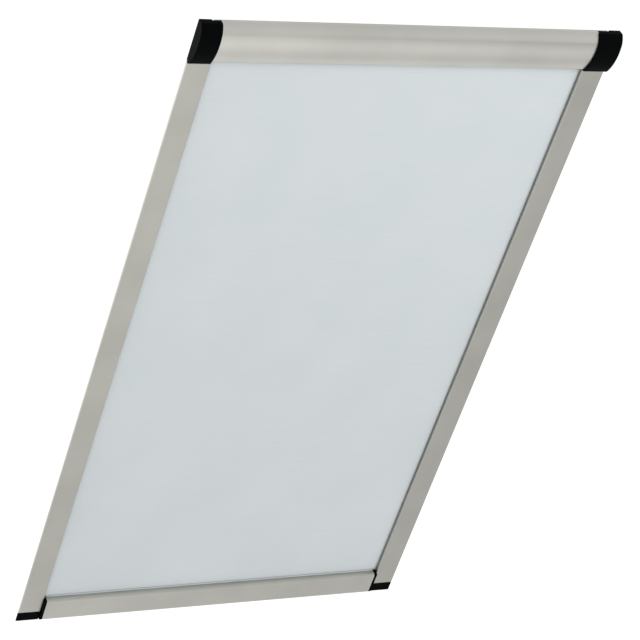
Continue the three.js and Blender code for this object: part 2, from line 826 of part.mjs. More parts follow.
// Outline of a gear: flank points by formula, outward teeth for 1 and inward teeth for -1
function gearPoints(teeth, direction, turn) {
  const pitchRadius = gearModule * teeth / 2;
  const tipRadius = pitchRadius + direction * addendumShare * gearModule;
  const rootRadius = pitchRadius - direction * dedendumShare * gearModule;
  const step = 2 * Math.PI / teeth;
  const flanks = [
    [rootRadius, -rootWidthShare / 2],
    [tipRadius, -tipWidthShare / 2],
    [tipRadius, tipWidthShare / 2],
    [rootRadius, rootWidthShare / 2],
  ];
  const points = [];
  for (let tooth = 0; tooth < teeth; tooth += 1) {
    for (const [radius, share] of flanks) {
      const angle = turn + step * (tooth + share);
      points.push(new THREE.Vector2(radius * Math.cos(angle), radius * Math.sin(angle)));
    }
  }
  return points;
}

// A gear on the X axis with an optional bore
function gearAcross(teeth, turn, x0, x1, bore) {
  const shape = new THREE.Shape(gearPoints(teeth, 1, turn));
  if (bore > 0) {
    const hole = new THREE.Path();
    hole.absarc(0, 0, bore, 0, 2 * Math.PI, false);
    shape.holes.push(hole);
  }
  return across(shape, x0, x1);
}

// Sun gear, planets and their carrier, which holds the output shaft
function addGears(group, { motorInner, ringInner, plateInner }) {
  const centreDistance = gearModule * (sunTeeth + planetTeeth) / 2;
  const carrierInner = ringInner + seatGap;
  const carrierOuter = carrierInner + carrierThickness;
  const planetInner = carrierOuter + seatGap;
  const planetOuter = planetInner + planetWidth;
  const shaftInner = plateInner - seatGap - driveWheelWidth;
  const carrierParts = [
    barAcross(carrierRadius, carrierInner, carrierOuter, 0, 0, largeRoundSides),
    barAcross(outputShaftRadius, shaftInner, carrierInner + seatGap, 0, 0, hexSides),
  ];
  for (let index = 0; index < planetCount; index += 1) {
    const place = 2 * Math.PI * index / planetCount;
    const y = centreDistance * Math.cos(place);
    const z = centreDistance * Math.sin(place);
    carrierParts.push(barAcross(planetPinRadius, carrierInner + seatGap, planetOuter + seatGap, y, z));
    const turn = Math.PI / planetTeeth;
    const planet = gearAcross(planetTeeth, turn, planetInner, planetOuter, planetPinRadius + runningGap);
    piece(group, `planet_gear_${index + 1}`, planet, finishes.steel, [
      0,
      rollerSetback + y,
      rollerHeight + z,
    ]);
  }
  const axis = [0, rollerSetback, rollerHeight];
  piece(group, 'planet_carrier', built(carrierParts), finishes.steel, axis);

  const sun = gearAcross(sunTeeth, 0, planetInner, motorInner - seatGap, 0);
  const shaft = barAcross(sunShaftRadius, planetInner + seatGap, motorInner + sunShaftLength);
  piece(group, 'sun_gear', built([sun, shaft]), finishes.brass, axis);

  const wheel = new THREE.Shape();
  wheel.absarc(0, 0, tubeBore - runningGap, 0, 2 * Math.PI, false);
  const hexCorners = [];
  const hexRadius = outputShaftRadius + seatGap;
  for (let corner = 0; corner < hexSides; corner += 1) {
    const angle = Math.PI / 2 + 2 * Math.PI * corner / hexSides;
    hexCorners.push(new THREE.Vector2(hexRadius * Math.cos(angle), hexRadius * Math.sin(angle)));
  }
  wheel.holes.push(new THREE.Path(hexCorners));
  for (let index = 0; index < driveWheelHoles; index += 1) {
    const angle = 2 * Math.PI * index / driveWheelHoles;
    const hole = new THREE.Path();
    hole.absarc(
      driveWheelHoleCircle * Math.cos(angle),
      driveWheelHoleCircle * Math.sin(angle),
      driveWheelHoleRadius,
      0,
      2 * Math.PI,
      false,
    );
    wheel.holes.push(hole);
  }
  const wheelGeometry = across(wheel, shaftInner, plateInner - seatGap, smallRoundSides / 2);
  piece(group, 'drive_wheel', wheelGeometry, finishes.whitePlastic, axis);
}

// Roller tube with the turns of fabric that stay on it when the blind is closed
function addRoller(group) {
  const axis = [0, rollerSetback, rollerHeight];
  piece(group, 'roller_tube', ring(tubeBore, tubeRadius, -tubeHalf, tubeHalf), finishes.rawAluminium, axis);
  const steps = Math.round(reserveTurns * largeRoundSides);
  const innerSide = [];
  const outerSide = [];
  for (let step = 0; step <= steps; step += 1) {
    const share = step / steps;
    const angle = 2 * Math.PI * reserveTurns * share;
    const radius = rollInner + reserveTurns * rollPitch * share;
    innerSide.push(new THREE.Vector2(radius * Math.cos(angle), radius * Math.sin(angle)));
    const farRadius = radius + fabricThickness;
    outerSide.push(new THREE.Vector2(farRadius * Math.cos(angle), farRadius * Math.sin(angle)));
  }
  const strip = new THREE.Shape([...innerSide, ...outerSide.reverse()]);
  piece(group, 'fabric_roll', across(strip, -fabricHalf, fabricHalf), finishes.fabric, axis);
}

// Cord spools that plug into the tube's ends; the right one runs on the motor shell
function addSpool(group, side, sideName) {
  const axis = [0, rollerSetback, rollerHeight];
  const bore = side > 0 ? motorRadius + seatGap : idlerAxleRadius + runningGap + bushWall + runningGap;
  const inner = spoolOuter - spoolWidth;
  const plugEnd = inner - spoolPlugLength;
  const bedInner = inner + spoolFlangeWidth;
  const bedOuter = spoolOuter - spoolFlangeWidth;
  const section = [
    [bore, plugEnd],
    [tubeBore - runningGap, plugEnd],
    [tubeBore - runningGap, inner],
    [spoolFlangeRadius, inner],
    [spoolFlangeRadius, bedInner],
    [spoolCoreRadius, bedInner],
    [spoolCoreRadius, bedOuter],
    [spoolFlangeRadius, bedOuter],
    [spoolFlangeRadius, spoolOuter],
    [bore, spoolOuter],
  ].map(([radius, x]) => [radius, side * x]);
  piece(group, `cord_spool_${sideName}`, turned(section), finishes.blackPlastic, axis);
  const turns = ring(
    spoolCoreRadius + runningGap,
    cordBedRadius,
    side * (bedInner + seatGap),
    side * (bedOuter - seatGap),
  );
  piece(group, `cord_turns_${sideName}`, turns, finishes.cord, axis);
}

// A spring wire's centre line along X
class SpringLine extends THREE.Curve {
  getPoint(share, target = new THREE.Vector3()) {
    const angle = 2 * Math.PI * springTurns * share;
    const y = springMeanRadius * Math.cos(angle);
    const z = springMeanRadius * Math.sin(angle);
    return target.set(springLength * share, y, z);
  }
}

// Idler axle, bush, tension spring and the anchor that ties the spring to the tube
function addIdler(fixed, roller) {
  const axis = [0, rollerSetback, rollerHeight];
  const shoulderOuter = bracketInner - seatGap;
  const shoulderInner = headInner;
  const axleEnd = bracketInner - idlerAxleReach;
  const section = [
    [0, -(shoulderOuter + spigotLength)],
    [spigotRadius, -(shoulderOuter + spigotLength)],
    [spigotRadius, -shoulderOuter],
    [idlerShoulderRadius, -shoulderOuter],
    [idlerShoulderRadius, -shoulderInner],
    [idlerAxleRadius, -shoulderInner],
    [idlerAxleRadius, -axleEnd],
    [0, -axleEnd],
  ];
  piece(fixed, 'idler_axle', turned(section), finishes.steel, axis);

  const bushInner = idlerAxleRadius + runningGap;
  const bushOuterEnd = -spoolOuter;
  const bush = ring(bushInner, bushInner + bushWall, bushOuterEnd, bushOuterEnd + bushLength);
  piece(roller, 'idler_bush', bush, finishes.whitePlastic, axis);

  const spring = new THREE.ExtrudeGeometry(roundSection(springWireRadius, springSides), {
    steps: springTurns * springStepsPerTurn,
    bevelEnabled: false,
    extrudePath: new SpringLine(),
  });
  const springStart = bushOuterEnd + bushLength + springWireRadius + seatGap;
  piece(roller, 'tension_spring', spring, finishes.steel, [springStart, rollerSetback, rollerHeight]);

  const anchorStart = springStart + springLength + springWireRadius + seatGap;
  const anchorEnd = anchorStart + anchorThickness;
  const anchor = ring(idlerAxleRadius + runningGap, tubeBore - runningGap, anchorStart, anchorEnd);
  piece(roller, 'spring_anchor', anchor, finishes.blackPlastic, axis);
}

// The bar's section from its rear foot forward and up to the front of its flat top
function drawBarOutline(shape) {
  const roundHeight = barHeight - barFrontRound;
  shape.moveTo(barBack, barFoot);
  shape.lineTo(barFront + barEdgeRound, barFoot);
  shape.quadraticCurveTo(barFront, barFoot, barFront, barFoot + barEdgeRound);
  shape.lineTo(barFront, roundHeight);
  shape.absarc(barFront + barFrontRound, roundHeight, barFrontRound, Math.PI, Math.PI / 2, true);
}

// Bottom bar, hollow below and keyed above to hold the fabric's edge
function addBottomBar(group) {
  const shape = new THREE.Shape();
  drawBarOutline(shape);
  shape.lineTo(fabricSetback - kederSlotHalf, barHeight);
  const keyAngle = Math.asin(kederSlotHalf / kederChamberRadius);
  shape.absarc(
    fabricSetback,
    kederHeight,
    kederChamberRadius,
    Math.PI / 2 + keyAngle,
    2.5 * Math.PI - keyAngle,
    false,
  );
  shape.lineTo(fabricSetback + kederSlotHalf, barHeight);
  shape.lineTo(barBack, barHeight);
  shape.holes.push(barHollow(0));
  piece(group, 'bottom_bar', across(shape, -barHalf, barHalf), finishes.anodised);
  const keder = barAcross(kederRadius, -barHalf + seatGap, barHalf - seatGap, fabricSetback, kederHeight);
  piece(group, 'keder_rod', keder, finishes.whitePlastic);
}

// The hollow of the bar, drawn smaller by an inset
function barHollow(inset) {
  const front = barFront + barWall + inset;
  const rear = barBack - barWall - inset;
  const bottom = barFoot + barWall + inset;
  const top = barFoot + barWall + barHollowHeight - inset;
  return new THREE.Shape([
    new THREE.Vector2(front, bottom),
    new THREE.Vector2(rear, bottom),
    new THREE.Vector2(rear, top),
    new THREE.Vector2(front, top),
  ]);
}

// Moulded cap on a bar end, with a plug into the hollow and a pocket for the shoe's neck
function addBarEndCap(group, side, name) {
  const shape = new THREE.Shape();
  drawBarOutline(shape);
  shape.lineTo(barBack, barHeight);
  const body = across(shape, side * barCapInner, side * barCapOuter);
  const plugEnd = side * (barCapInner - barPlugLength);
  const plug = across(barHollow(seatGap), plugEnd, side * (barCapInner + seatGap));
  const pocket = block(
    [side * (barCapOuter - neckPocketDepth), side * (barCapOuter + overrun)],
    [neckFront - seatGap, neckRear + seatGap],
    [shoeBottom - seatGap, barHeight - neckTopDrop + seatGap],
  );
  piece(group, name, built([body, plug], [pocket]), finishes.blackPlastic);
}

// Guide shoe in the channel, with a neck through the slot into the bar's cap
function addGuideShoe(group, side, name) {
  const body = block(
    [side * (cavityInner + seatGap), side * (bodyOuter - shoeOuterInset)],
    [shoeFront, shoeRear],
    [shoeBottom, shoeTop],
  );
  const neck = block(
    [side * (barCapOuter - neckPocketDepth + seatGap), side * (cavityInner + overrun)],
    [neckFront, neckRear],
    [shoeBottom, barHeight - neckTopDrop],
  );
  piece(group, name, built([body, neck]), finishes.whitePlastic);
}

// Places of the electronics in the right end cap
function boardRear() {
  return -boardSetForward;
}
function socketFront() {
  return boardRear() + runningGap;
}
function socketBottom() {
  return fromTop(socketDrop) - socketWidth / 2;
}
function buttonSetback() {
  return boardRear() + switchThickness / 2;
}

// Control board with its main chip, push switch and lead connector
function addControlBoard(group) {
  const front = boardRear() - boardThickness;
  const inner = halfWidth - boardInnerInset;
  const outer = halfWidth - boardOuterInset;
  const top = fromTop(boardTopDrop);
  const board = block([inner, outer], [front, boardRear()], [top - boardHeight, top]);
  const chipTop = fromTop(chipDrop);
  const chipOuter = halfWidth - boardInnerInset + chipSize + chipThickness;
  const chip = block(
    [chipOuter - chipSize, chipOuter],
    [boardRear() - chipThickness / 2, boardRear() + chipThickness],
    [chipTop - chipSize, chipTop],
  );
  const switchOuter = switchFace();
  const pushSwitch = block(
    [switchOuter - switchSize, switchOuter],
    [front + boardThickness / 2, boardRear() + switchThickness],
    [fromTop(buttonDrop) - switchSize / 2, fromTop(buttonDrop) + switchSize / 2],
  );
  const connector = block(
    [inner, inner + connectorLength],
    [front + boardThickness / 2, boardRear() + connectorThickness],
    [fromTop(connectorDrop) - connectorLength / 2, fromTop(connectorDrop) + connectorLength / 2],
  );
  piece(group, 'control_board', built([board, chip, pushSwitch, connector]), finishes.board);
}

// The face that the button presses on
function switchFace() {
  return halfWidth - capEndWall - buttonFlangeThickness - buttonTravel - 2 * seatGap;
}

// Charging socket, a flat metal shell with a tongue, open towards +X
function addPowerSocket(group) {
  const outer = halfWidth - runningGap;
  const front = socketFront();
  const bottom = socketBottom();
  const shell = block(
    [outer - socketDepth, outer],
    [front, front + socketThickness],
    [bottom, bottom + socketWidth],
  );
  const mouth = block(
    [outer - socketDepth + socketShell * 2, outer + overrun],
    [front + socketShell, front + socketThickness - socketShell],
    [bottom + socketShell, bottom + socketWidth - socketShell],
  );
  const middleBack = front + socketThickness / 2;
  const middleHeight = bottom + socketWidth / 2;
  const tongueHalf = socketWidth * socketTongueShare / 2;
  const tongue = block(
    [outer - socketDepth + socketShell, outer - socketShell * 2],
    [middleBack - socketTongueThickness / 2, middleBack + socketTongueThickness / 2],
    [middleHeight - tongueHalf, middleHeight + tongueHalf],
  );
  const hollowShell = geometryOf(solidOf(shell).subtract(solidOf(mouth)));
  piece(group, 'power_socket', built([hollowShell, tongue]), finishes.steel);
}

// Programming button, flanged inside the end wall and flush with it outside
function addProgramButton(group) {
  const wallInner = halfWidth - capEndWall;
  const flangeOuter = wallInner - runningGap;
  const section = [
    [0, switchFace() + buttonTravel + seatGap],
    [buttonRadius + buttonFlange, switchFace() + buttonTravel + seatGap],
    [buttonRadius + buttonFlange, flangeOuter],
    [buttonRadius, flangeOuter],
    [buttonRadius, halfWidth],
    [0, halfWidth],
  ];
  piece(group, 'program_button', turned(section, smallRoundSides), finishes.greyPlastic, [
    0,
    buttonSetback(),
    fromTop(buttonDrop),
  ]);
}

// Lead from the motor head to the connector on the control board
function addMotorLead(group) {
  const headX = headInner + motorHeadThickness / 2;
  const headZ = rollerHeight - motorHeadRadius - seatGap;
  const boardX = halfWidth - boardInnerInset + connectorLength / 2;
  const boardY = boardRear() + leadRadius + seatGap;
  const boardZ = fromTop(connectorDrop) - connectorLength / 2 - seatGap;
  const path = new THREE.CatmullRomCurve3([
    new THREE.Vector3(headX, rollerSetback, headZ),
    new THREE.Vector3(headX, rollerSetback, headZ - leadBend),
    new THREE.Vector3(headX, rollerSetback - 2 * leadBend, headZ - 2 * leadBend),
    new THREE.Vector3((headX + boardX) / 2, boardY + 3 * leadBend, headZ - 1.8 * leadBend),
    new THREE.Vector3(boardX, boardY + leadBend, headZ - 1.5 * leadBend),
    new THREE.Vector3(boardX, boardY, boardZ - leadBend),
    new THREE.Vector3(boardX, boardY, boardZ),
  ]);
  const lead = new THREE.ExtrudeGeometry(roundSection(leadRadius, leadSides), {
    steps: leadSteps,
    bevelEnabled: false,
    extrudePath: path,
  });
  piece(group, 'motor_lead', lead, finishes.leadRubber);
}

const blind = new THREE.Group();
const frame = new THREE.Group();
const roller = new THREE.Group();
const bar = new THREE.Group();
blind.add(frame, roller, bar);

addCassetteCover(frame);
addBackProfile(frame);
addBracket(frame, 1, 'motor_bracket');
addBracket(frame, -1, 'idler_bracket');
addGuideRod(frame);
addGears(roller, addMotor(frame));
addRoller(roller);
addIdler(frame, roller);
addControlBoard(frame);
addPowerSocket(frame);
addProgramButton(frame);
addMotorLead(frame);
addFabricSheet(frame);
addFabricLead(frame);
addBottomBar(bar);
for (const [side, sideName] of [[-1, 'left'], [1, 'right']]) {
  addCassetteEndCap(frame, side);
  addBracketScrews(frame, side, sideName);
  addSideChannel(frame, side, `side_channel_${sideName}`);
  addBrushSeal(frame, side, `brush_seal_${sideName}`);
  addChannelEndCap(frame, side, `channel_end_cap_${sideName}`);
  addPulleyPin(frame, side, `pulley_pin_${sideName}`);
  addPulley(frame, side, `cord_pulley_${sideName}`);
  addDriveCord(frame, side, `drive_cord_${sideName}`);
  addReturnCord(frame, side, `return_cord_${sideName}`);
  addSpool(roller, side, sideName);
  addBarEndCap(bar, side, `bar_end_cap_${sideName}`);
  addGuideShoe(bar, side, `guide_shoe_${sideName}`);
}

// The origin is the middle of the cassette's rear face, where the blind is fixed
blind.position.set(0, -bodyDepth, -(fromTop(topInset) + cassetteBottom) / 2);

export default blind;
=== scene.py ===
import json
import math
import random

import bmesh
import bpy
from mathutils import Matrix, Quaternion, Vector
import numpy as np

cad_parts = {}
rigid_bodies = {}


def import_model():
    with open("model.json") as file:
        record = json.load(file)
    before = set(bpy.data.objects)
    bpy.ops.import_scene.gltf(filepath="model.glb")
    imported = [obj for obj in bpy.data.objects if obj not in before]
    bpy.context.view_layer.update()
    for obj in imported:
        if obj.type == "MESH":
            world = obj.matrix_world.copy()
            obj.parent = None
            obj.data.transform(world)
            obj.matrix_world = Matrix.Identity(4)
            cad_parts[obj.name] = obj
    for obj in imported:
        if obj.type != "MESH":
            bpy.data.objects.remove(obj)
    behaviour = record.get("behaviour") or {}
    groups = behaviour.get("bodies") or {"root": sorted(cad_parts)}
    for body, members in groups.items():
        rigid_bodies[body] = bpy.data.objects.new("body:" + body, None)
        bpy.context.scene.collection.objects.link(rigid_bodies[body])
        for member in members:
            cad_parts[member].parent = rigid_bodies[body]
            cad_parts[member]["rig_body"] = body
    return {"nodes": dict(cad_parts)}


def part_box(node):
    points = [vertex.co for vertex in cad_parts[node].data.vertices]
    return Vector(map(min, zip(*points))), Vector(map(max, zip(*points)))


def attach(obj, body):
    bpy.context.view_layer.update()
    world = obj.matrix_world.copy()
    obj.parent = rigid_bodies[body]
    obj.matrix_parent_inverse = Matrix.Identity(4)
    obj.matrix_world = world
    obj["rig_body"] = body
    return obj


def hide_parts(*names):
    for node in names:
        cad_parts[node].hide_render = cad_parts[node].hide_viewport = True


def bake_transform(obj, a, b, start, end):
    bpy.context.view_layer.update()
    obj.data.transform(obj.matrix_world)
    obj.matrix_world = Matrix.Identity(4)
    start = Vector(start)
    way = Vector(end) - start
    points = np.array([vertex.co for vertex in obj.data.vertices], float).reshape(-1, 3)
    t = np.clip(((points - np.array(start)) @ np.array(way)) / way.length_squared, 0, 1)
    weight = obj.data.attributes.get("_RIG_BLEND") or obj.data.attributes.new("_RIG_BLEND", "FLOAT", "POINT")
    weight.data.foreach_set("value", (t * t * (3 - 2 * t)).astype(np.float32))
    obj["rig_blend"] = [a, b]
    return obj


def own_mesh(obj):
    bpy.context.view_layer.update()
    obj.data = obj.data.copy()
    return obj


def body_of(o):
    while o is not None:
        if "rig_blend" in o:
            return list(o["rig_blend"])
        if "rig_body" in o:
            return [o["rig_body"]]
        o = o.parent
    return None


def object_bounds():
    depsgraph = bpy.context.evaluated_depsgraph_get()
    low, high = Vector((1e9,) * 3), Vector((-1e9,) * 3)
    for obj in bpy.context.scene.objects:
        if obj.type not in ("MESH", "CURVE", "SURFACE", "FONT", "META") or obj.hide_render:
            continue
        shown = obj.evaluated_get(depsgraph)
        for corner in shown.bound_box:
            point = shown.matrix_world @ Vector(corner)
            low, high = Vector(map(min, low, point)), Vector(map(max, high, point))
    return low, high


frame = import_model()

cadLow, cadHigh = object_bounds()
nodes = frame["nodes"]
bodyOf = {name: body_of(node)[0] for name, node in nodes.items()}
mm = 0.001
mergeGap = 0.001 * mm                      # points closer than this are one
print("frame loaded:", len(nodes), "nodes")

# Camera, solved from the blind's outline in the photo
cameraSet = {
    "place": (-1.8206, -2.66121, 1.78289),
    "aim": (0.0133, -0.026, -0.47831),
    "rollDegrees": 20.0637,
    "lens": 149.657,
    "sensorWidth": 36.0,
}


def addCamera(settings):
    camera = bpy.data.objects.new("camera", bpy.data.cameras.new("camera"))
    bpy.context.scene.collection.objects.link(camera)
    camera.data.lens = settings["lens"]
    camera.data.sensor_width = settings["sensorWidth"]
    camera.data.clip_start = 0.1
    camera.data.clip_end = 100
    place = Vector(settings["place"])
    look = Vector(settings["aim"]) - place
    roll = Quaternion((0, 0, 1), math.radians(settings["rollDegrees"]))
    camera.location = place
    camera.rotation_mode = "QUATERNION"
    camera.rotation_quaternion = look.to_track_quat("-Z", "Y") @ roll
    bpy.context.scene.camera = camera


addCamera(cameraSet)
bpy.context.scene.view_settings.view_transform = "Standard"
print("camera placed")


# Node and colour helpers
def linearColour(hexColour):
    channels = [int(hexColour[i:i + 2], 16) / 255 for i in (1, 3, 5)]
    return [c / 12.92 if c <= 0.04045 else ((c + 0.055) / 1.055) ** 2.4 for c in channels] + [1.0]


def feed(tree, node, inputs):
    # Links a socket or a node's first output, and sets anything else as a value
    for name, value in inputs.items():
        if isinstance(value, bpy.types.Node):
            value = value.outputs[0]
        if isinstance(value, bpy.types.NodeSocket):
            tree.links.new(value, node.inputs[name])
        else:
            node.inputs[name].default_value = value


def addNode(tree, kind, inputs=None, **settings):
    node = tree.nodes.new(kind)
    for name, value in settings.items():
        setattr(node, name, value)
    feed(tree, node, inputs or {})
    return node


def startMaterial(name, sockets):
    material = bpy.data.materials.new(name)
    material.use_nodes = True
    tree = material.node_tree
    tree.nodes.clear()
    shader = addNode(tree, "ShaderNodeBsdfPrincipled", sockets)
    addNode(tree, "ShaderNodeOutputMaterial", {"Surface": shader})
    return material, tree, shader


# Anodised aluminium, extruded and then etched: a warm satin silver. The die lines run along the
# extrusion and draw the sheen out along it, and the etch leaves a fine frosted grain.
def anodisedAluminium(name, runsAlong, look):
    material, tree, shader = startMaterial(name, {"Metallic": 1.0})
    place = addNode(tree, "ShaderNodeTexCoord").outputs["Object"]
    perMetre = [1 / look["dieLineGap"]] * 3
    perMetre["xyz".index(runsAlong)] = 1 / look["dieLineLength"]
    along = addNode(tree, "ShaderNodeMapping", {"Vector": place, "Scale": perMetre})
    dieLines = addNode(tree, "ShaderNodeTexNoise", {"Vector": along, "Scale": 1.0, "Detail": 3.0})
    etch = addNode(tree, "ShaderNodeTexNoise", {
        "Vector": place,
        "Scale": 1 / look["etchGrain"],
        "Detail": 2.0,
    })
    cloud = addNode(tree, "ShaderNodeTexNoise", {
        "Vector": place,
        "Scale": 1 / look["cloudSize"],
        "Detail": 2.0,
    })
    toneShare = addNode(tree, "ShaderNodeMapRange", {"Value": cloud, "From Min": 0.35, "From Max": 0.65})
    tone = addNode(tree, "ShaderNodeMix", {
        "Factor": toneShare,
        6: linearColour(look["dark"]),
        7: linearColour(look["light"]),
    }, data_type="RGBA")
    frost = addNode(tree, "ShaderNodeMath", {0: dieLines, 1: etch}, operation="ADD")
    roughness = addNode(tree, "ShaderNodeMapRange", {
        "Value": frost,
        "From Min": 0.7,
        "From Max": 1.3,
        "To Min": look["roughness"] - 0.04,
        "To Max": look["roughness"] + 0.06,
    })
    lineBump = addNode(tree, "ShaderNodeBump", {
        "Height": dieLines,
        "Strength": 0.06,
        "Distance": 0.02 * mm,
    })
    grainBump = addNode(tree, "ShaderNodeBump", {
        "Height": etch,
        "Strength": 0.1,
        "Distance": 0.02 * mm,
        "Normal": lineBump,
    })
    feed(tree, shader, {"Base Color": tone.outputs[2], "Roughness": roughness, "Normal": grainBump})
    return material


# ABS or acetal, injection-moulded in a spark-eroded tool: a fine pebbled grain that breaks up the shine.
def mouldedPlastic(name, look):
    material, tree, shader = startMaterial(name, {"IOR": 1.53, "Specular IOR Level": look["specular"]})
    place = addNode(tree, "ShaderNodeTexCoord").outputs["Object"]
    pebbles = addNode(tree, "ShaderNodeTexNoise", {
        "Vector": place,
        "Scale": 1 / look["pebbleSize"],
        "Detail": 2.0,
    })
    flow = addNode(tree, "ShaderNodeTexNoise", {
        "Vector": place,
        "Scale": 1 / look["flowSize"],
        "Detail": 1.0,
    })
    tone = addNode(tree, "ShaderNodeMix", {
        "Factor": flow,
        6: linearColour(look["dark"]),
        7: linearColour(look["light"]),
    }, data_type="RGBA")
    roughness = addNode(tree, "ShaderNodeMapRange", {
        "Value": pebbles,
        "From Min": 0.3,
        "From Max": 0.7,
        "To Min": look["roughness"] - 0.06,
        "To Max": look["roughness"] + 0.08,
    })
    bump = addNode(tree, "ShaderNodeBump", {
        "Height": pebbles,
        "Strength": look["grain"],
        "Distance": 0.05 * mm,
    })
    feed(tree, shader, {"Base Color": tone.outputs[2], "Roughness": roughness, "Normal": bump})
    return material


# Steel, brass or mill-finish aluminium, drawn, turned or plated: bright, with fine marks along one axis.
def drawnMetal(name, runsAlong, look):
    material, tree, shader = startMaterial(name, {"Metallic": 1.0})
    place = addNode(tree, "ShaderNodeTexCoord").outputs["Object"]
    perMetre = [1 / look["markGap"]] * 3
    perMetre["xyz".index(runsAlong)] = 1 / look["markLength"]
    along = addNode(tree, "ShaderNodeMapping", {"Vector": place, "Scale": perMetre})
    marks = addNode(tree, "ShaderNodeTexNoise", {"Vector": along, "Scale": 1.0, "Detail": 2.0})
    tone = addNode(tree, "ShaderNodeMix", {
        "Factor": marks,
        6: linearColour(look["dark"]),
        7: linearColour(look["light"]),
    }, data_type="RGBA")
    roughness = addNode(tree, "ShaderNodeMapRange", {
        "Value": marks,
        "From Min": 0.3,
        "From Max": 0.7,
        "To Min": look["roughness"] - 0.08,
        "To Max": look["roughness"] + 0.1,
    })
    bump = addNode(tree, "ShaderNodeBump", {"Height": marks, "Strength": 0.08, "Distance": 0.02 * mm})
    feed(tree, shader, {"Base Color": tone.outputs[2], "Roughness": roughness, "Normal": bump})
    return material


# Plain-woven polyester with a dim-out coating: matt, with a little sheen at low angles. Real threads
# lie 0.25 mm apart, drawn here 0.45 mm apart so that the weave shows close up, and now and then
# one thread is thicker.
def wovenPolyester(name, look):
    material, tree, shader = startMaterial(name, {
        "Roughness": 0.86,
        "Specular IOR Level": 0.25,
        "Sheen Weight": 0.1,
        "Sheen Roughness": 0.5,
    })
    place = addNode(tree, "ShaderNodeTexCoord").outputs["Object"]
    waveScale = 2 * math.pi / 20 / (2 * look["threadGap"])   # one wave for each pair of threads
    warp = addNode(tree, "ShaderNodeTexWave", {
        "Vector": place,
        "Scale": waveScale,
        "Distortion": 0.3,
    }, wave_type="BANDS", bands_direction="X")
    weft = addNode(tree, "ShaderNodeTexWave", {
        "Vector": place,
        "Scale": waveScale,
        "Distortion": 0.3,
    }, wave_type="BANDS", bands_direction="Z")
    weave = addNode(tree, "ShaderNodeMath", {
        0: warp.outputs["Fac"],
        1: weft.outputs["Fac"],
    }, operation="MULTIPLY")
    slubSpace = addNode(tree, "ShaderNodeMapping", {
        "Vector": place,
        "Scale": (1 / look["slubLength"], 1 / look["slubGap"], 1 / look["slubGap"]),
    })
    slubs = addNode(tree, "ShaderNodeTexNoise", {"Vector": slubSpace, "Scale": 1.0, "Detail": 2.0})
    cloud = addNode(tree, "ShaderNodeTexNoise", {
        "Vector": place,
        "Scale": 1 / look["cloudSize"],
        "Detail": 2.0,
    })
    mottle = addNode(tree, "ShaderNodeMath", {0: slubs, 1: cloud}, operation="ADD")
    toneShare = addNode(tree, "ShaderNodeMapRange", {"Value": mottle, "From Min": 0.7, "From Max": 1.3})
    tone = addNode(tree, "ShaderNodeMix", {
        "Factor": toneShare,
        6: linearColour(look["dark"]),
        7: linearColour(look["light"]),
    }, data_type="RGBA")
    height = addNode(tree, "ShaderNodeMath", {0: weave, 1: slubs}, operation="ADD")
    bump = addNode(tree, "ShaderNodeBump", {"Height": height, "Strength": 0.12, "Distance": 0.08 * mm})
    feed(tree, shader, {"Base Color": tone.outputs[2], "Normal": bump})
    return material


# Polyester cord, braided from twisted strands: matt, with ridges that cross it at a slant, and painted shade
# that darkens the grooves between them.
def braidedCord(name, look):
    material, tree, shader = startMaterial(name, {"Roughness": 0.8, "Specular IOR Level": 0.3})
    place = addNode(tree, "ShaderNodeTexCoord").outputs["Object"]
    waveScale = 2 * math.pi / 20 / look["strandGap"]
    strandsUp = addNode(tree, "ShaderNodeTexWave", {
        "Vector": place,
        "Scale": waveScale,
        "Distortion": 0.5,
    }, wave_type="BANDS", bands_direction="DIAGONAL")
    crossTurn = addNode(tree, "ShaderNodeMapping", {"Vector": place, "Scale": (1.0, 1.0, -1.0)})
    strandsDown = addNode(tree, "ShaderNodeTexWave", {
        "Vector": crossTurn,
        "Scale": waveScale,
        "Distortion": 0.5,
    }, wave_type="BANDS", bands_direction="DIAGONAL")
    braid = addNode(tree, "ShaderNodeMath", {
        0: strandsUp.outputs["Fac"],
        1: strandsDown.outputs["Fac"],
    }, operation="MAXIMUM")
    tone = addNode(tree, "ShaderNodeMix", {
        "Factor": braid,
        6: linearColour(look["dark"]),
        7: linearColour(look["light"]),
    }, data_type="RGBA")
    bump = addNode(tree, "ShaderNodeBump", {"Height": braid, "Strength": 0.5, "Distance": 0.06 * mm})
    feed(tree, shader, {"Base Color": tone.outputs[2], "Normal": bump})
    return material


# Polypropylene pile, woven into a backing strip and cropped: dull, with painted shade that darkens it between
# the fibres.
def croppedPile(name, look):
    material, tree, shader = startMaterial(name, {"Roughness": 0.95, "Specular IOR Level": 0.15})
    place = addNode(tree, "ShaderNodeTexCoord").outputs["Object"]
    fibreSpace = addNode(tree, "ShaderNodeMapping", {
        "Vector": place,
        "Scale": (1 / look["fibreGap"], 1 / look["fibreLength"], 1 / look["fibreGap"]),
    })
    fibres = addNode(tree, "ShaderNodeTexNoise", {"Vector": fibreSpace, "Scale": 1.0, "Detail": 2.0})
    tone = addNode(tree, "ShaderNodeMix", {
        "Factor": fibres,
        6: linearColour(look["dark"]),
        7: linearColour(look["light"]),
    }, data_type="RGBA")
    bump = addNode(tree, "ShaderNodeBump", {"Height": fibres, "Strength": 0.5, "Distance": 0.1 * mm})
    feed(tree, shader, {"Base Color": tone.outputs[2], "Normal": bump})
    return material


def anodisedLook(dark, light):
    return {
        "dark": dark,
        "light": light,
        "roughness": 0.36,
        "dieLineGap": 0.6 * mm,
        "dieLineLength": 250 * mm,
        "etchGrain": 0.4 * mm,
        "cloudSize": 85 * mm,
    }


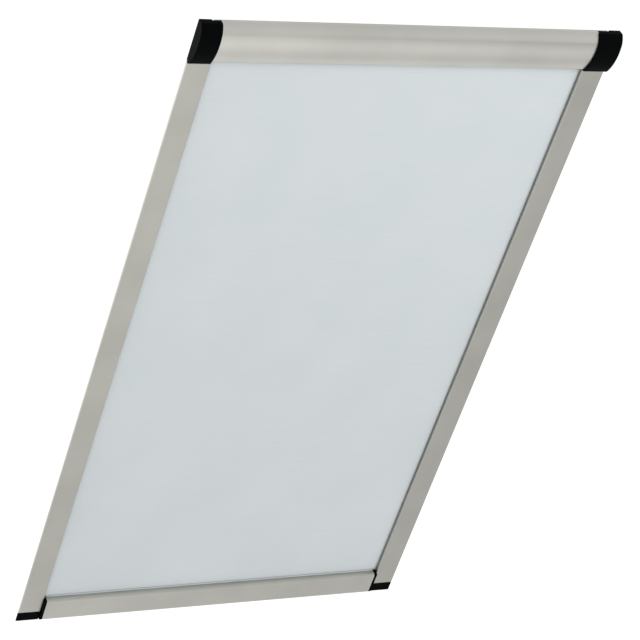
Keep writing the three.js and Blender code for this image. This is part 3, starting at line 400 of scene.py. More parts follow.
polyesterLook = {
    "dark": "#d3dadc",
    "light": "#d8dee0",
    "threadGap": 0.45 * mm,
    "slubLength": 50 * mm,
    "slubGap": 1.0 * mm,
    "cloudSize": 120 * mm,
}
cordLook = {"dark": "#bdbdb5", "light": "#dfdfda", "strandGap": 0.5 * mm}
pileLook = {"dark": "#4c4e50", "light": "#7b7e80", "fibreGap": 0.12 * mm, "fibreLength": 1.5 * mm}


def plasticLook(dark, light, roughness=0.42, specular=0.5, grain=0.12):
    return {
        "dark": dark,
        "light": light,
        "roughness": roughness,
        "specular": specular,
        "grain": grain,
        "pebbleSize": 0.45 * mm,
        "flowSize": 20 * mm,
    }


def metalLook(dark, light, roughness):
    return {
        "dark": dark,
        "light": light,
        "roughness": roughness,
        "markGap": 0.35 * mm,
        "markLength": 20 * mm,
    }


# One anodised aluminium in three copies. The cover's copy is painted lighter and the upright channels' copy
# painted darker than the bar's, as painted light and shade for how each part takes the room's reflections.
aluminiumUprightPaintedDarker = anodisedAluminium("anodisedAluminiumUprightPaintedDarker", "z", anodisedLook("#b9b8b1", "#bfbeb7"))
aluminiumAcross = anodisedAluminium("anodisedAluminiumAcross", "x", anodisedLook("#bfbeb7", "#c5c4bd"))
aluminiumCoverPaintedLighter = anodisedAluminium("anodisedAluminiumCoverPaintedLighter", "x", anodisedLook("#d1d0c9", "#d7d6cf"))
millAluminium = drawnMetal("millFinishAluminium", "x", metalLook("#9fa1a0", "#b1b3b1", 0.45))
steel = drawnMetal("drawnSteel", "x", metalLook("#8e9092", "#a6a8aa", 0.3))
zincPlate = drawnMetal("zincPlatedSteel", "z", metalLook("#a9adb2", "#c2c5c9", 0.36))
brass = drawnMetal("turnedBrass", "x", metalLook("#a5823f", "#ba9750", 0.32))
blackAbs = mouldedPlastic("mouldedAbsBlack", plasticLook("#050607", "#060808", 0.5, 0.015))
greyAcetal = mouldedPlastic("mouldedAcetalGrey", plasticLook("#84878a", "#909396"))
whiteAcetal = mouldedPlastic("mouldedAcetalWhite", plasticLook("#dcdcd8", "#e8e8e4", 0.4))
boardLacquer = mouldedPlastic("lacqueredCircuitBoard", plasticLook("#174c30", "#1f6440", 0.3, 0.5, 0.03))
sleeveBlue = mouldedPlastic("shrinkSleeveBlue", plasticLook("#2a658f", "#3375a5", 0.35, 0.5, 0.05))
leadPvc = mouldedPlastic("extrudedPvcBlack", plasticLook("#151515", "#1c1c1c", 0.55, 0.3, 0.05))
polyester = wovenPolyester("wovenPolyesterDimOut", polyesterLook)
cordBraid = braidedCord("braidedPolyesterCord", cordLook)
pile = croppedPile("croppedPolypropylenePile", pileLook)
print("materials made")


# Section and piece helpers
class SectionPen:
    # Draws lines and arcs on the XY plane with bmesh operators

    def __init__(self, u, v):
        self.bm = bmesh.new()
        self.moveTo(u, v)

    def moveTo(self, u, v):
        self.tip = self.bm.verts.new((u, v, 0))

    def lineTo(self, u, v):
        grown = bmesh.ops.extrude_vert_indiv(self.bm, verts=[self.tip])
        self.tip = grown["verts"][0]
        self.tip.co = (u, v, 0)

    def arcTo(self, centre, turn, steps=12):
        swept = bmesh.ops.spin(
            self.bm, geom=[self.tip], cent=(*centre, 0), axis=(0, 0, 1), angle=turn, steps=steps,
        )
        self.tip = next(part for part in swept["geom_last"] if isinstance(part, bmesh.types.BMVert))


# The pen's plane laid across the blind (its u is Y, its v is Z), or left level (its u is X, its v is Y)
acrossBlind = Matrix(((0, 0, 1, 0), (1, 0, 0, 0), (0, 1, 0, 0), (0, 0, 0, 1)))
upBlind = Matrix.Identity(4)


def newVerts(result):
    return [part for part in result["geom"] if isinstance(part, bmesh.types.BMVert)]


def extrudeSection(pen, start, end, turn, hollow=False):
    bm = pen.bm
    bmesh.ops.remove_doubles(bm, verts=bm.verts, dist=mergeGap)
    if hollow:
        bmesh.ops.triangle_fill(bm, edges=bm.edges, use_beauty=False)
        bmesh.ops.dissolve_limit(bm, angle_limit=math.radians(1), verts=bm.verts, edges=bm.edges)
    else:
        bmesh.ops.contextual_create(bm, geom=bm.edges)
    grown = bmesh.ops.extrude_face_region(bm, geom=bm.faces[:])
    bmesh.ops.translate(bm, verts=newVerts(grown), vec=(0, 0, end - start))
    bmesh.ops.translate(bm, verts=bm.verts, vec=(0, 0, start))
    bmesh.ops.transform(bm, matrix=turn, verts=bm.verts)
    bmesh.ops.recalc_face_normals(bm, faces=bm.faces)
    return bm


def addPiece(name, bm, material, stoodFor, bevel=0.0, sharpDegrees=32):
    mesh = bpy.data.meshes.new(name)
    bm.to_mesh(mesh)
    bm.free()
    mesh.shade_smooth()
    mesh.set_sharp_from_angle(angle=math.radians(sharpDegrees))
    mesh.materials.append(material)
    piece = bpy.data.objects.new(name, mesh)
    bpy.context.scene.collection.objects.link(piece)
    if bevel:
        edges = piece.modifiers.new("softEdges", "BEVEL")
        edges.width = bevel
        edges.segments = 2
        edges.limit_method = "ANGLE"
        edges.angle_limit = math.radians(sharpDegrees)
        flatFaces = piece.modifiers.new("flatFaces", "WEIGHTED_NORMAL")
        flatFaces.keep_sharp = True
    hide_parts(stoodFor)
    return piece


def thicken(piece, thickness):
    wall = piece.modifiers.new("clothThickness", "SOLIDIFY")
    wall.thickness = thickness
    wall.offset = 0


# Places shared by the profiles, all read from the frame
coverLow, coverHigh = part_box("cassette_cover")
channelLow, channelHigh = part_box("side_channel_right")
barLow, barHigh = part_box("bottom_bar")
sheetLow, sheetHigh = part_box("fabric_sheet")
faceY = channelLow.y                       # front of the face plates
sheetY = (sheetLow.y + sheetHigh.y) / 2
clothThickness = sheetHigh.y - sheetLow.y

# Cassette cover: shoulder, wide face and lower rounding as one run of arcs
cover = {
    "wall": 1.6 * mm,
    "faceRadius": 72 * mm,
    "crownDrop": 27.5 * mm,
    "shoulderDrop": 16 * mm,
    "topReach": 2.5 * mm,
    "lowerRound": 3 * mm,
    "arcSteps": 20,
    "cutEdge": 0.15 * mm,
}


def coverArcs(settings):
    faceRadius = settings["faceRadius"]
    faceCentre = Vector((coverLow.y + faceRadius, coverHigh.z - settings["crownDrop"]))
    tilt = math.asin((settings["crownDrop"] - settings["shoulderDrop"]) / faceRadius)
    shoulderEnd = faceCentre + faceRadius * Vector((-math.cos(tilt), math.sin(tilt)))
    chord = Vector((faceY - settings["topReach"], coverHigh.z)) - shoulderEnd
    shoulderRadius = chord.length_squared / (2 * (chord.x * math.cos(tilt) - chord.y * math.sin(tilt)))
    shoulderCentre = shoulderEnd + shoulderRadius * Vector((math.cos(tilt), -math.sin(tilt)))
    lowerRound = settings["lowerRound"]
    lowerTilt = math.asin((faceCentre.y - coverLow.z - lowerRound) / (faceRadius - lowerRound))
    lowerCentre = Vector((
        faceCentre.x - (faceRadius - lowerRound) * math.cos(lowerTilt),
        coverLow.z + lowerRound,
    ))
    return [
        (shoulderCentre, shoulderRadius, None, math.pi - tilt),
        (faceCentre, faceRadius, math.pi - tilt, math.pi + lowerTilt),
        (lowerCentre, lowerRound, math.pi + lowerTilt, 1.5 * math.pi),
    ]


def drawFront(pen, settings, inset, downwards):
    # The front line an inset behind the outer face, from the top edge down or back up
    arcs = []
    for centre, radius, start, end in coverArcs(settings):
        if start is None:
            start = math.pi - math.asin((coverHigh.z - inset - centre.y) / (radius - inset))
        arcs.append((centre, radius - inset, start, end))
    if not downwards:
        arcs = [(centre, radius, end, start) for centre, radius, start, end in reversed(arcs)]
    for centre, radius, start, end in arcs:
        pen.lineTo(centre.x + radius * math.cos(start), centre.y + radius * math.sin(start))
        pen.arcTo(centre, end - start, settings["arcSteps"])


def buildCover(settings):
    wall = settings["wall"]
    pen = SectionPen(faceY, coverHigh.z - wall)
    pen.lineTo(faceY, coverHigh.z)
    drawFront(pen, settings, 0, True)
    pen.lineTo(coverHigh.y, coverLow.z)
    pen.lineTo(coverHigh.y, coverLow.z + wall)
    drawFront(pen, settings, wall, False)
    pen.lineTo(faceY, coverHigh.z - wall)
    bm = extrudeSection(pen, coverLow.x, coverHigh.x, acrossBlind)
    piece = addPiece("cover_extrusion", bm, aluminiumCoverPaintedLighter, "cassette_cover", settings["cutEdge"])
    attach(piece, bodyOf["cassette_cover"])


buildCover(cover)
print("cover made")

# Side channels: C section with a face plate over the sash and a slot for the fabric
channel = {
    "plate": 2 * mm,
    "wall": 1.6 * mm,
    "bodyInset": 19 * mm,
    "slotFront": 4.5 * mm,
    "slotRear": 8.5 * mm,
    "outerRound": 1.5 * mm,
    "innerRound": 0.6 * mm,
    "roundSteps": 5,
    "cutEdge": 0.12 * mm,
}


def buildChannel(side, sideName, settings):
    name = f"side_channel_{sideName}"
    plate, wall = settings["plate"], settings["wall"]
    faceInner, faceOuter = channelLow.x, channelHigh.x
    bodyOuter = faceOuter - settings["bodyInset"]
    rear = channelHigh.y
    slotFront, slotRear = faceY + settings["slotFront"], faceY + settings["slotRear"]
    outerRound, innerRound = settings["outerRound"], settings["innerRound"]
    quarter, steps = side * math.pi / 2, settings["roundSteps"]
    pen = SectionPen(side * (faceInner + innerRound), faceY)
    pen.lineTo(side * (faceOuter - outerRound), faceY)
    pen.arcTo((side * (faceOuter - outerRound), faceY + outerRound), quarter, steps)
    pen.lineTo(side * faceOuter, faceY + plate)
    pen.lineTo(side * bodyOuter, faceY + plate)
    pen.lineTo(side * bodyOuter, rear)
    pen.lineTo(side * faceInner, rear)
    pen.lineTo(side * faceInner, slotRear)
    pen.lineTo(side * (faceInner + wall), slotRear)
    pen.lineTo(side * (faceInner + wall), rear - wall)
    pen.lineTo(side * (bodyOuter - wall), rear - wall)
    pen.lineTo(side * (bodyOuter - wall), faceY + plate)
    pen.lineTo(side * (faceInner + wall), faceY + plate)
    pen.lineTo(side * (faceInner + wall), slotFront)
    pen.lineTo(side * faceInner, slotFront)
    pen.lineTo(side * faceInner, faceY + innerRound)
    pen.arcTo((side * (faceInner + innerRound), faceY + innerRound), quarter, steps)
    bm = extrudeSection(pen, channelLow.z, channelHigh.z, upBlind)
    piece = addPiece(f"channel_extrusion_{sideName}", bm, aluminiumUprightPaintedDarker, name, settings["cutEdge"])
    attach(piece, bodyOf[name])


for side, sideName in ((-1, "left"), (1, "right")):
    buildChannel(side, sideName, channel)
print("channels made")

# Bottom bar: flat top, well rounded front edge, a hollow below and above it a chamber for the fabric's edge
bar = {
    "wall": 1.4 * mm,
    "frontRound": 5 * mm,
    "edgeRound": 1 * mm,
    "hollowHeight": 26.3 * mm,
    "chamberRadius": 2.3 * mm,
    "chamberDrop": 6 * mm,
    "slotHalf": 0.7 * mm,
    "roundSteps": 10,
    "edgeSteps": 5,
    "chamberSteps": 24,
    "cutEdge": 0.15 * mm,
}


def buildBar(settings):
    front, rear, bottom, top = barLow.y, barHigh.y, barLow.z, barHigh.z
    frontRound, edgeRound = settings["frontRound"], settings["edgeRound"]
    chamber = (sheetY, top - settings["chamberDrop"])
    slotHalf, chamberRadius = settings["slotHalf"], settings["chamberRadius"]
    keyAngle = math.asin(slotHalf / chamberRadius)
    pen = SectionPen(rear, bottom)
    pen.lineTo(front + edgeRound, bottom)
    pen.arcTo((front + edgeRound, bottom + edgeRound), -math.pi / 2, settings["edgeSteps"])
    pen.lineTo(front, top - frontRound)
    pen.arcTo((front + frontRound, top - frontRound), -math.pi / 2, settings["roundSteps"])
    pen.lineTo(sheetY - slotHalf, top)
    pen.lineTo(chamber[0] - slotHalf, chamber[1] + chamberRadius * math.cos(keyAngle))
    pen.arcTo(chamber, 2 * math.pi - 2 * keyAngle, settings["chamberSteps"])
    pen.lineTo(sheetY + slotHalf, top)
    pen.lineTo(rear, top)
    pen.lineTo(rear, bottom)
    wall = settings["wall"]
    hollowTop = bottom + wall + settings["hollowHeight"]
    pen.moveTo(front + wall, bottom + wall)
    pen.lineTo(rear - wall, bottom + wall)
    pen.lineTo(rear - wall, hollowTop)
    pen.lineTo(front + wall, hollowTop)
    pen.lineTo(front + wall, bottom + wall)
    bm = extrudeSection(pen, barLow.x, barHigh.x, acrossBlind, hollow=True)
    piece = addPiece("bar_extrusion", bm, aluminiumAcross, "bottom_bar", settings["cutEdge"])
    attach(piece, bodyOf["bottom_bar"])


buildBar(bar)
print("bar made")

# Fabric: the taut sheet, its lead over the guide rod and the turns left on the roller
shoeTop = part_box("guide_shoe_left")[1].z
rodLow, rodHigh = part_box("guide_rod")
tubeLow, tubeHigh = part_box("roller_tube")
rollerAxis = Vector(((tubeLow.y + tubeHigh.y) / 2, (tubeLow.z + tubeHigh.z) / 2))
tubeRadius = (tubeHigh.z - tubeLow.z) / 2
cloth = {
    "columns": 72,
    "rows": 124,
    "neckGap": 0.3 * mm,
    "rippleHeight": 0.12 * mm,      # how far the taut cloth waves above the bar
    "rippleWidth": 74 * mm,
    "rippleReach": 160 * mm,
    "rippleStart": 20 * mm,         # over which the waves begin at the keder
    "rippleDrift": 0.6,             # how far they wander from even spacing, and how often
    "driftPerMetre": 9,
    "rodClearance": 0.2 * mm,
    "rollClearance": 0.3 * mm,
    "leadLapDegrees": 60,
    "leadSteps": 24,
    "reserveTurns": 1.25,
    "turnGap": 0.1 * mm,
    "turnSteps": 90,
}


def keepFaces(bm, isKept):
    # Leaves only the faces whose middle lies at a height that is kept
    others = [face for face in bm.faces if not isKept(face.calc_center_median().z)]
    bmesh.ops.delete(bm, geom=others, context="FACES")


def buildSheet(settings):
    width, cutLength = sheetHigh.x - sheetLow.x, sheetHigh.z - sheetLow.z
    upright = Matrix.Rotation(math.pi / 2, 4, "X")
    middle = Matrix.Translation(((sheetLow.x + sheetHigh.x) / 2, sheetY, (sheetLow.z + sheetHigh.z) / 2))
    bm = bmesh.new()
    bmesh.ops.create_grid(
        bm,
        x_segments=settings["columns"],
        y_segments=settings["rows"],
        size=0.5,
        matrix=middle @ upright @ Matrix.Diagonal((width, cutLength, 1, 1)),
    )
    shoulderZ = shoeTop + settings["neckGap"]
    neckHalf = barHigh.x - settings["neckGap"]
    for point, normal in (
        ((0, 0, shoulderZ), (0, 0, 1)),
        ((-neckHalf, 0, 0), (1, 0, 0)),
        ((neckHalf, 0, 0), (1, 0, 0)),
    ):
        parts = bm.verts[:] + bm.edges[:] + bm.faces[:]
        bmesh.ops.bisect_plane(bm, geom=parts, dist=mergeGap, plane_co=point, plane_no=normal)
    corners = [
        face for face in bm.faces
        if face.calc_center_median().z < shoulderZ and abs(face.calc_center_median().x) > neckHalf
    ]
    bmesh.ops.delete(bm, geom=corners, context="FACES")
    for vert in bm.verts:
        x, z = vert.co.x, vert.co.z - sheetLow.z
        edgeShare = max(0.0, 1 - (2 * x / width) ** 4)
        fade = math.exp(-z / settings["rippleReach"]) * min(1.0, z / settings["rippleStart"])
        drift = settings["rippleDrift"] * math.sin(settings["driftPerMetre"] * x)
        wave = math.sin(2 * math.pi * x / settings["rippleWidth"] + drift)
        vert.co.y += settings["rippleHeight"] * edgeShare * fade * wave
    # The hem goes with the bar, so that only the cloth above the guide shoes shortens
    hem = bm.copy()
    keepFaces(bm, lambda z: z > shoulderZ)
    keepFaces(hem, lambda z: z < shoulderZ)
    area = sum(face.calc_area() for face in bm.faces)
    hemPiece = addPiece("cloth_hem", hem, polyester, "fabric_sheet")
    thicken(hemPiece, clothThickness)
    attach(hemPiece, bodyOf["bottom_bar"])
    piece = addPiece("blind_cloth", bm, polyester, "fabric_sheet")
    thicken(piece, clothThickness)
    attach(piece, bodyOf["fabric_sheet"])
    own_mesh(piece)
    print(f"cloth_hem: {(shoulderZ - sheetLow.z) / mm:.1f} mm")


def clothStrip(pen, name, stoodFor):
    bm = pen.bm
    bmesh.ops.remove_doubles(bm, verts=bm.verts, dist=mergeGap)
    grown = bmesh.ops.extrude_edge_only(bm, edges=bm.edges[:])
    bmesh.ops.translate(bm, verts=newVerts(grown), vec=(0, 0, sheetHigh.x - sheetLow.x))
    bmesh.ops.translate(bm, verts=bm.verts, vec=(0, 0, sheetLow.x))
    bmesh.ops.transform(bm, matrix=acrossBlind, verts=bm.verts)
    piece = addPiece(name, bm, polyester, stoodFor)
    thicken(piece, clothThickness)
    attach(piece, bodyOf[stoodFor])


def buildLead(settings):
    rod = Vector(((rodLow.y + rodHigh.y) / 2, (rodLow.z + rodHigh.z) / 2))
    pitch = clothThickness + settings["turnGap"]
    rollOuter = tubeRadius + settings["turnGap"] + clothThickness + settings["reserveTurns"] * pitch
    rollRadius = rollOuter + settings["rollClearance"] + clothThickness / 2
    rodRadius = (rodHigh.z - rodLow.z) / 2 + settings["rodClearance"] + clothThickness / 2
    toRod = rod - rollerAxis
    spread = math.acos((rollRadius + rodRadius) / toRod.length)
    leave = math.atan2(toRod.y, toRod.x) - spread
    lap = math.radians(settings["leadLapDegrees"])
    lift = Vector((0, settings["rollClearance"] / 2))
    rollCentre, rodCentre = rollerAxis + lift, rod + lift
    start = rollCentre + rollRadius * Vector((math.cos(leave - lap), math.sin(leave - lap)))
    meet = rodCentre + rodRadius * Vector((math.cos(leave + math.pi), math.sin(leave + math.pi)))
    pen = SectionPen(*start)
    pen.arcTo(rollCentre, lap, settings["leadSteps"])
    pen.lineTo(*meet)
    pen.arcTo(rodCentre, -((leave + math.pi) % (2 * math.pi)), settings["leadSteps"])
    clothStrip(pen, "cloth_lead", "fabric_lead")


def buildRoll(settings):
    inner = tubeRadius + settings["turnGap"] + clothThickness / 2
    growth = settings["reserveTurns"] * (clothThickness + settings["turnGap"])
    pen = SectionPen(rollerAxis.x + inner, rollerAxis.y)
    for step in range(1, settings["turnSteps"] + 1):
        share = step / settings["turnSteps"]
        radius = inner + growth * share
        angle = 2 * math.pi * settings["reserveTurns"] * share
        pen.lineTo(rollerAxis.x + radius * math.cos(angle), rollerAxis.y + radius * math.sin(angle))
    clothStrip(pen, "cloth_roll", "fabric_roll")


buildSheet(cloth)
buildLead(cloth)
buildRoll(cloth)
print("cloth made")

# Cords, with their turns on the spools, and the tension spring: round sections swept by spins
cord = {
    "sides": 10,
    "bendSteps": 24,
    "runSteps": 12,
    "stretchSteps": 60,
    "turns": 4,
    "turnPitch": 0.82 * mm,
    "turnSpread": 0.36 * mm,        # by which a wound turn is thicker than its share of the spool
}
spring = {"sides": 10, "turns": 10, "stepsPerTurn": 28, "wireRadius": 0.7 * mm}


def capEnds(bm):
    rims = [edge for edge in bm.edges if edge.is_boundary]
    bmesh.ops.holes_fill(bm, edges=rims, sides=0)
    bmesh.ops.recalc_face_normals(bm, faces=bm.faces)


def startTube(centre, radius, sides):
    bm = bmesh.new()
    bmesh.ops.create_circle(bm, segments=sides, radius=radius, matrix=Matrix.Translation(centre))
    return bm, bm.edges[:]


def growTube(bm, rim, step, count):
    for _ in range(count):
        grown = bmesh.ops.extrude_edge_only(bm, edges=rim)
        bmesh.ops.translate(bm, verts=newVerts(grown), vec=step)
        rim = [part for part in grown["geom"] if isinstance(part, bmesh.types.BMEdge)]
    return rim


def buildDriveCord(sideName, settings):
    name = f"drive_cord_{sideName}"
    low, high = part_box(name)
    pulleyLow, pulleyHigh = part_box(f"cord_pulley_{sideName}")
    x = (low.x + high.x) / 2
    radius = (high.x - low.x) / 2
    back = high.y - radius
    pulley = (pulleyLow + pulleyHigh) / 2
    bm, rim = startTube((x, back, high.z), radius, settings["sides"])
    drop = (0, 0, (pulley.z - high.z) / settings["runSteps"])
    rim = growTube(bm, rim, drop, settings["runSteps"])
    bmesh.ops.spin(
        bm,
        geom=rim,
        cent=(x, pulley.y, pulley.z),
        axis=(1, 0, 0),
        angle=-math.pi,
        steps=settings["bendSteps"],
    )
    capEnds(bm)
    piece = addPiece(f"cord_run_{sideName}", bm, cordBraid, name)
    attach(piece, bodyOf[name])


def buildReturnCord(sideName, settings):
    name = f"return_cord_{sideName}"
    low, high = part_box(name)
    centre = (low + high) / 2
    bm, rim = startTube((centre.x, centre.y, low.z), (high.x - low.x) / 2, settings["sides"])
    growTube(bm, rim, (0, 0, (high.z - low.z) / settings["stretchSteps"]), settings["stretchSteps"])
    capEnds(bm)
    piece = addPiece(f"cord_return_{sideName}", bm, cordBraid, name)
    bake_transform(piece, "frame", "bar", start=(centre.x, centre.y, low.z), end=(centre.x, centre.y, high.z))


def buildCordTurns(sideName, settings):
    name = f"cord_turns_{sideName}"
    low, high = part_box(name)
    wound = settings["turns"] * settings["turnPitch"]
    radius = (high.x - low.x - wound) / 2 + settings["turnSpread"]
    bedRadius = (high.z - low.z) / 2 - radius
    steps = settings["turns"] * settings["bendSteps"]
    startX = (low.x + high.x) / 2 - wound / 2
    bm, rim = startTube((startX, rollerAxis.x + bedRadius, rollerAxis.y), radius, settings["sides"])
    bmesh.ops.spin(
        bm,
        geom=rim,
        cent=(0, *rollerAxis),
        axis=(1, 0, 0),
        dvec=(wound / steps, 0, 0),
        angle=2 * math.pi * settings["turns"],
        steps=steps,
    )
    capEnds(bm)
    piece = addPiece(f"cord_winding_{sideName}", bm, cordBraid, name)
    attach(piece, bodyOf[name])


def buildSpring(settings):
    low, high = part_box("tension_spring")
    meanRadius = (high.z - low.z) / 2 - settings["wireRadius"]
    length = high.x - low.x - 2 * settings["wireRadius"]
    steps = settings["turns"] * settings["stepsPerTurn"]
    start = (low.x + settings["wireRadius"], rollerAxis.x + meanRadius, rollerAxis.y)
    bm, rim = startTube(start, settings["wireRadius"], settings["sides"])
    bmesh.ops.spin(
        bm,
        geom=rim,
        cent=(0, *rollerAxis),
        axis=(1, 0, 0),
        dvec=(length / steps, 0, 0),
        angle=2 * math.pi * settings["turns"],
        steps=steps,
    )
    capEnds(bm)
    piece = addPiece("wound_spring", bm, steel, "tension_spring")
    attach(piece, bodyOf["tension_spring"])


for sideName in ("left", "right"):
    buildDriveCord(sideName, cord)
    buildReturnCord(sideName, cord)
    buildCordTurns(sideName, cord)
buildSpring(spring)
print("cords and spring made")

# Brush seals: a backing strip with two rows of cropped tufts that lean a little either way
brush = {
    "backing": 0.3 * mm,
    "tuftGap": 1.4 * mm,
    "tuftRoot": 0.26 * mm,
    "tuftTip": 0.12 * mm,
    "rowShares": (0.3, 0.7),
    "strayShare": 0.2,
    "leanAngle": 0.1,
    "sides": 5,
}


def buildBrush(sideName, settings, seed):
    name = f"brush_seal_{sideName}"
    low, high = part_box(name)
    chance = random.Random(seed)
    backingFront = high.y - settings["backing"]
    bm = bmesh.new()
    middle = Vector(((low.x + high.x) / 2, (backingFront + high.y) / 2, (low.z + high.z) / 2))
    scale = Matrix.Diagonal((high.x - low.x, settings["backing"], high.z - low.z, 1))
    bmesh.ops.create_cube(bm, size=1, matrix=Matrix.Translation(middle) @ scale)
    pileLength = backingFront - low.y
    forwards = Matrix.Rotation(math.pi / 2, 4, "X")
    count = int((high.z - low.z) / settings["tuftGap"])
    for step in range(count):
        for row in settings["rowShares"]:
            root = Vector((
                low.x + row * (high.x - low.x),
                backingFront - pileLength / 2,
                low.z + (step + 0.5 + settings["strayShare"] * chance.uniform(-1, 1)) * settings["tuftGap"],
            ))
            lean = Matrix.Rotation(chance.uniform(-settings["leanAngle"], settings["leanAngle"]), 4, "Z")
            bmesh.ops.create_cone(
                bm,
                cap_ends=True,
                segments=settings["sides"],
                radius1=settings["tuftRoot"],
                radius2=settings["tuftTip"],
                depth=pileLength,
                matrix=Matrix.Translation(root) @ lean @ forwards,
            )
    piece = addPiece(f"pile_strip_{sideName}", bm, pile, name)
    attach(piece, bodyOf[name])


buildBrush("left", brush, 3)
buildBrush("right", brush, 5)
print("brushes made")

# The other pieces keep their CAD form: merged, shaded round and given soft edges that catch the light
finishOf = {
    "cassette_end_cap": (blackAbs, 0.5 * mm),
    "channel_end_cap": (blackAbs, 0.3 * mm),
    "bar_end_cap": (blackAbs, 0.4 * mm),
    "cassette_back_profile": (aluminiumAcross, 0.12 * mm),
    "guide_rod": (millAluminium, 0.15 * mm),
    "roller_tube": (millAluminium, 0.15 * mm),
    "motor_head": (blackAbs, 0.2 * mm),
    "cord_spool": (blackAbs, 0.12 * mm),
    "spring_anchor": (blackAbs, 0.2 * mm),
    "motor_bracket": (zincPlate, 0.2 * mm),
    "idler_bracket": (zincPlate, 0.2 * mm),
    "motor_housing": (zincPlate, 0.1 * mm),
    "bracket_screw": (steel, 0.12 * mm),
    "pulley_pin": (steel, 0.12 * mm),
    "dc_motor": (steel, 0.3 * mm),
    "planet_carrier": (steel, 0.08 * mm),
    "planet_gear": (steel, 0.03 * mm),
    "idler_axle": (steel, 0.2 * mm),
    "power_socket": (steel, 0.05 * mm),
    "sun_gear": (brass, 0.03 * mm),
    "ring_gear": (greyAcetal, 0.03 * mm),
    "gearbox_end_plate": (greyAcetal, 0.12 * mm),
    "program_button": (greyAcetal, 0.15 * mm),
    "drive_wheel": (whiteAcetal, 0.15 * mm),
    "idler_bush": (whiteAcetal, 0.15 * mm),
    "cord_pulley": (whiteAcetal, 0.1 * mm),
    "guide_shoe": (whiteAcetal, 0.25 * mm),
    "keder_rod": (whiteAcetal, 0.2 * mm),
    "control_board": (boardLacquer, 0.05 * mm),
    "battery_pack": (sleeveBlue, 0.6 * mm),
    "motor_lead": (leadPvc, 0.0),
}
flatAngle = math.radians(0.5)              # faces that turn less than this are joined into one


def refineNode(name, material, bevel):
    bm = bmesh.new()
    bm.from_mesh(nodes[name].data)
    bmesh.ops.remove_doubles(bm, verts=bm.verts, dist=2 * mergeGap)
    bmesh.ops.dissolve_limit(bm, angle_limit=flatAngle, verts=bm.verts, edges=bm.edges)
    piece = addPiece(f"{name}_finished", bm, material, name, bevel)
    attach(piece, bodyOf[name])


for name in nodes:
    match = [finish for start, finish in finishOf.items() if name.startswith(start)]
    if match:
        refineNode(name, *match[0])
print("CAD forms finished")

# Floor, lamps and world
studio = {
    "floorDrop": 0.9,                   # the blind hangs on its window, above the floor
    "floorSize": 30.0,
    "floorDark": "#f2f2f2",
    "floorLight": "#f6f6f6",
    "speckleScale": 2.0,
    "whiteLift": 0.4,                   # brings the lit floor up to white where the camera sees it
    "paintedReflectionSlope": (-0.15, 0.0, 0.0),   # painted reflection: how the floor's glow, seen only in reflections, brightens across the room
    "paintedReflectionDimmest": 0.82,                 # the painted reflection's level at bandPlace, a painted dark band where it is dimmest
    "bandPlace": -0.9,
    "paintedReflectionRises": ((-2.0, 0.52), (0.9, 0.56)),   # how far from there the painted reflection rises, and by how much
    "skyLevel": 0.665,                  # the room's light on the blind
    "horizonHeight": 0.3,               # what the blind mirrors of the room, low down and overhead
    "horizonLevel": 0.8,
    "zenithHeight": 0.9,
    "zenithLevel": 0.67,
}


def addFloor(settings):
    material, tree, shader = startMaterial("matPaleFloor", {"Roughness": 0.9, "Specular IOR Level": 0.0})
    place = addNode(tree, "ShaderNodeTexCoord").outputs["Object"]
    speckle = addNode(tree, "ShaderNodeTexNoise", {"Vector": place, "Scale": settings["speckleScale"]})
    tone = addNode(tree, "ShaderNodeMix", {
        "Factor": speckle,
        6: linearColour(settings["floorDark"]),
        7: linearColour(settings["floorLight"]),
    }, data_type="RGBA")
    rays = addNode(tree, "ShaderNodeLightPath")
    seen = addNode(tree, "ShaderNodeMath", {
        0: rays.outputs["Is Camera Ray"],
        1: rays.outputs["Is Transmission Ray"],
    }, operation="MAXIMUM")
    lift = addNode(tree, "ShaderNodeMath", {0: seen, 1: settings["whiteLift"]}, operation="MULTIPLY")
    feed(tree, shader, {
        "Base Color": tone.outputs[2],
        "Emission Color": (1, 1, 1, 1),
        "Emission Strength": lift,
    })
    # Painted reflection: glossy rays see the floor as a glow that slopes across the room and dips in a dark
    # band, standing in for the light and shade on the metal.
    slope = addNode(tree, "ShaderNodeVectorMath", {
        0: place,
        1: settings["paintedReflectionSlope"],
    }, operation="DOT_PRODUCT")
    backwards = addNode(tree, "ShaderNodeSeparateXYZ", {"Vector": place}).outputs["Y"]
    level = addNode(tree, "ShaderNodeMath", {
        0: slope.outputs["Value"],
        1: settings["paintedReflectionDimmest"],
    }, operation="ADD")
    for reach, rise in settings["paintedReflectionRises"]:
        brighter = addNode(tree, "ShaderNodeMapRange", {
            "Value": backwards,
            "From Min": settings["bandPlace"],
            "From Max": settings["bandPlace"] + reach,
            "To Max": rise,
        })
        level = addNode(tree, "ShaderNodeMath", {0: level, 1: brighter}, operation="ADD")
    paintedReflection = addNode(tree, "ShaderNodeEmission", {"Color": (1, 1, 1, 1), "Strength": level})
    surface = addNode(tree, "ShaderNodeMixShader", {
        0: rays.outputs["Is Glossy Ray"],
        1: shader,
        2: paintedReflection,
    })
    feed(tree, next(node for node in tree.nodes if node.type == "OUTPUT_MATERIAL"), {"Surface": surface})
    bm = bmesh.new()
    bmesh.ops.create_grid(bm, x_segments=1, y_segments=1, size=settings["floorSize"] / 2)
    bmesh.ops.translate(bm, verts=bm.verts, vec=(0, 0, cadLow.z - settings["floorDrop"]))
    mesh = bpy.data.meshes.new("floor")
    bm.to_mesh(mesh)
    bm.free()
    floor = bpy.data.objects.new("floor", mesh)
    floor.data.materials.append(material)
    bpy.context.scene.collection.objects.link(floor)


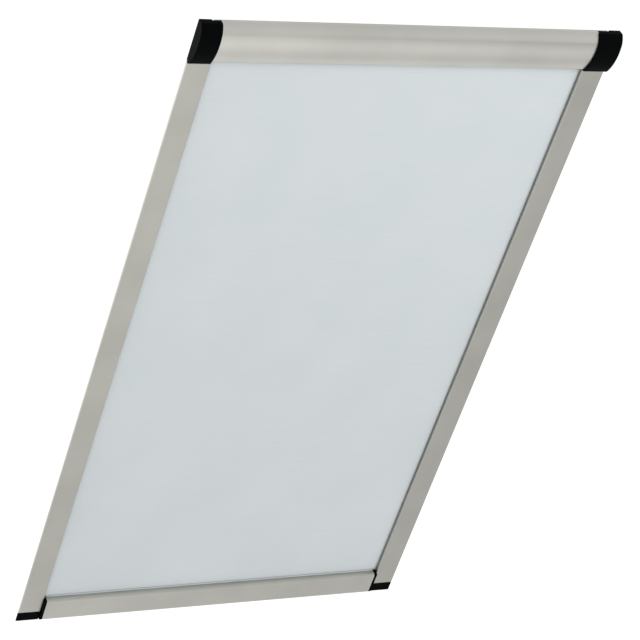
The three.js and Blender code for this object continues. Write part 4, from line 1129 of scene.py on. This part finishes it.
def addWorld(settings):
    world = bpy.data.worlds.new("softRoom")
    bpy.context.scene.world = world
    world.use_nodes = True
    tree = world.node_tree
    tree.nodes.clear()
    rays = addNode(tree, "ShaderNodeLightPath")
    mirrorOrGlass = addNode(tree, "ShaderNodeMath", {
        0: rays.outputs["Is Glossy Ray"],
        1: rays.outputs["Is Transmission Ray"],
    }, operation="MAXIMUM")
    direction = addNode(tree, "ShaderNodeTexCoord").outputs["Generated"]
    height = addNode(tree, "ShaderNodeSeparateXYZ", {"Vector": direction}).outputs["Z"]
    white = addNode(tree, "ShaderNodeMapRange", {
        "Value": height,
        "From Min": settings["horizonHeight"],
        "From Max": settings["zenithHeight"],
        "To Min": settings["horizonLevel"],
        "To Max": settings["zenithLevel"],
    })
    room = addNode(tree, "ShaderNodeMix", {
        "Factor": mirrorOrGlass,
        2: settings["skyLevel"],
        3: white,
    }, data_type="FLOAT")
    level = addNode(tree, "ShaderNodeMath", {
        0: room,
        1: rays.outputs["Is Camera Ray"],
    }, operation="MAXIMUM")
    background = addNode(tree, "ShaderNodeBackground", {"Color": (1, 1, 1, 1), "Strength": level})
    addNode(tree, "ShaderNodeOutputWorld", {"Surface": background})


def addLamp(name, settings):
    lamp = bpy.data.objects.new(name, bpy.data.lights.new(name, "AREA"))
    bpy.context.scene.collection.objects.link(lamp)
    lamp.data.shape = "RECTANGLE"
    lamp.data.size, lamp.data.size_y = settings["size"]
    lamp.data.energy = settings["power"]
    lamp.visible_glossy = False          # soft boxes that leave no hot spot on the satin metal
    place = Vector(settings["place"])
    lamp.location = place
    lamp.rotation_mode = "QUATERNION"
    lamp.rotation_quaternion = (Vector(settings["aim"]) - place).to_track_quat("-Z", "Y")


keyLamp = {"place": (1.1, -1.85, 1.5), "aim": (0, 0, -0.3), "size": (1.6, 1.6), "power": 31}
fillLamp = {"place": (-2.4, -2.2, 0.6), "aim": (0, 0, -0.5), "size": (1.6, 2.2), "power": 8}
addFloor(studio)
addWorld(studio)
addLamp("keyLamp", keyLamp)
addLamp("fillLamp", fillLamp)
print("studio made")
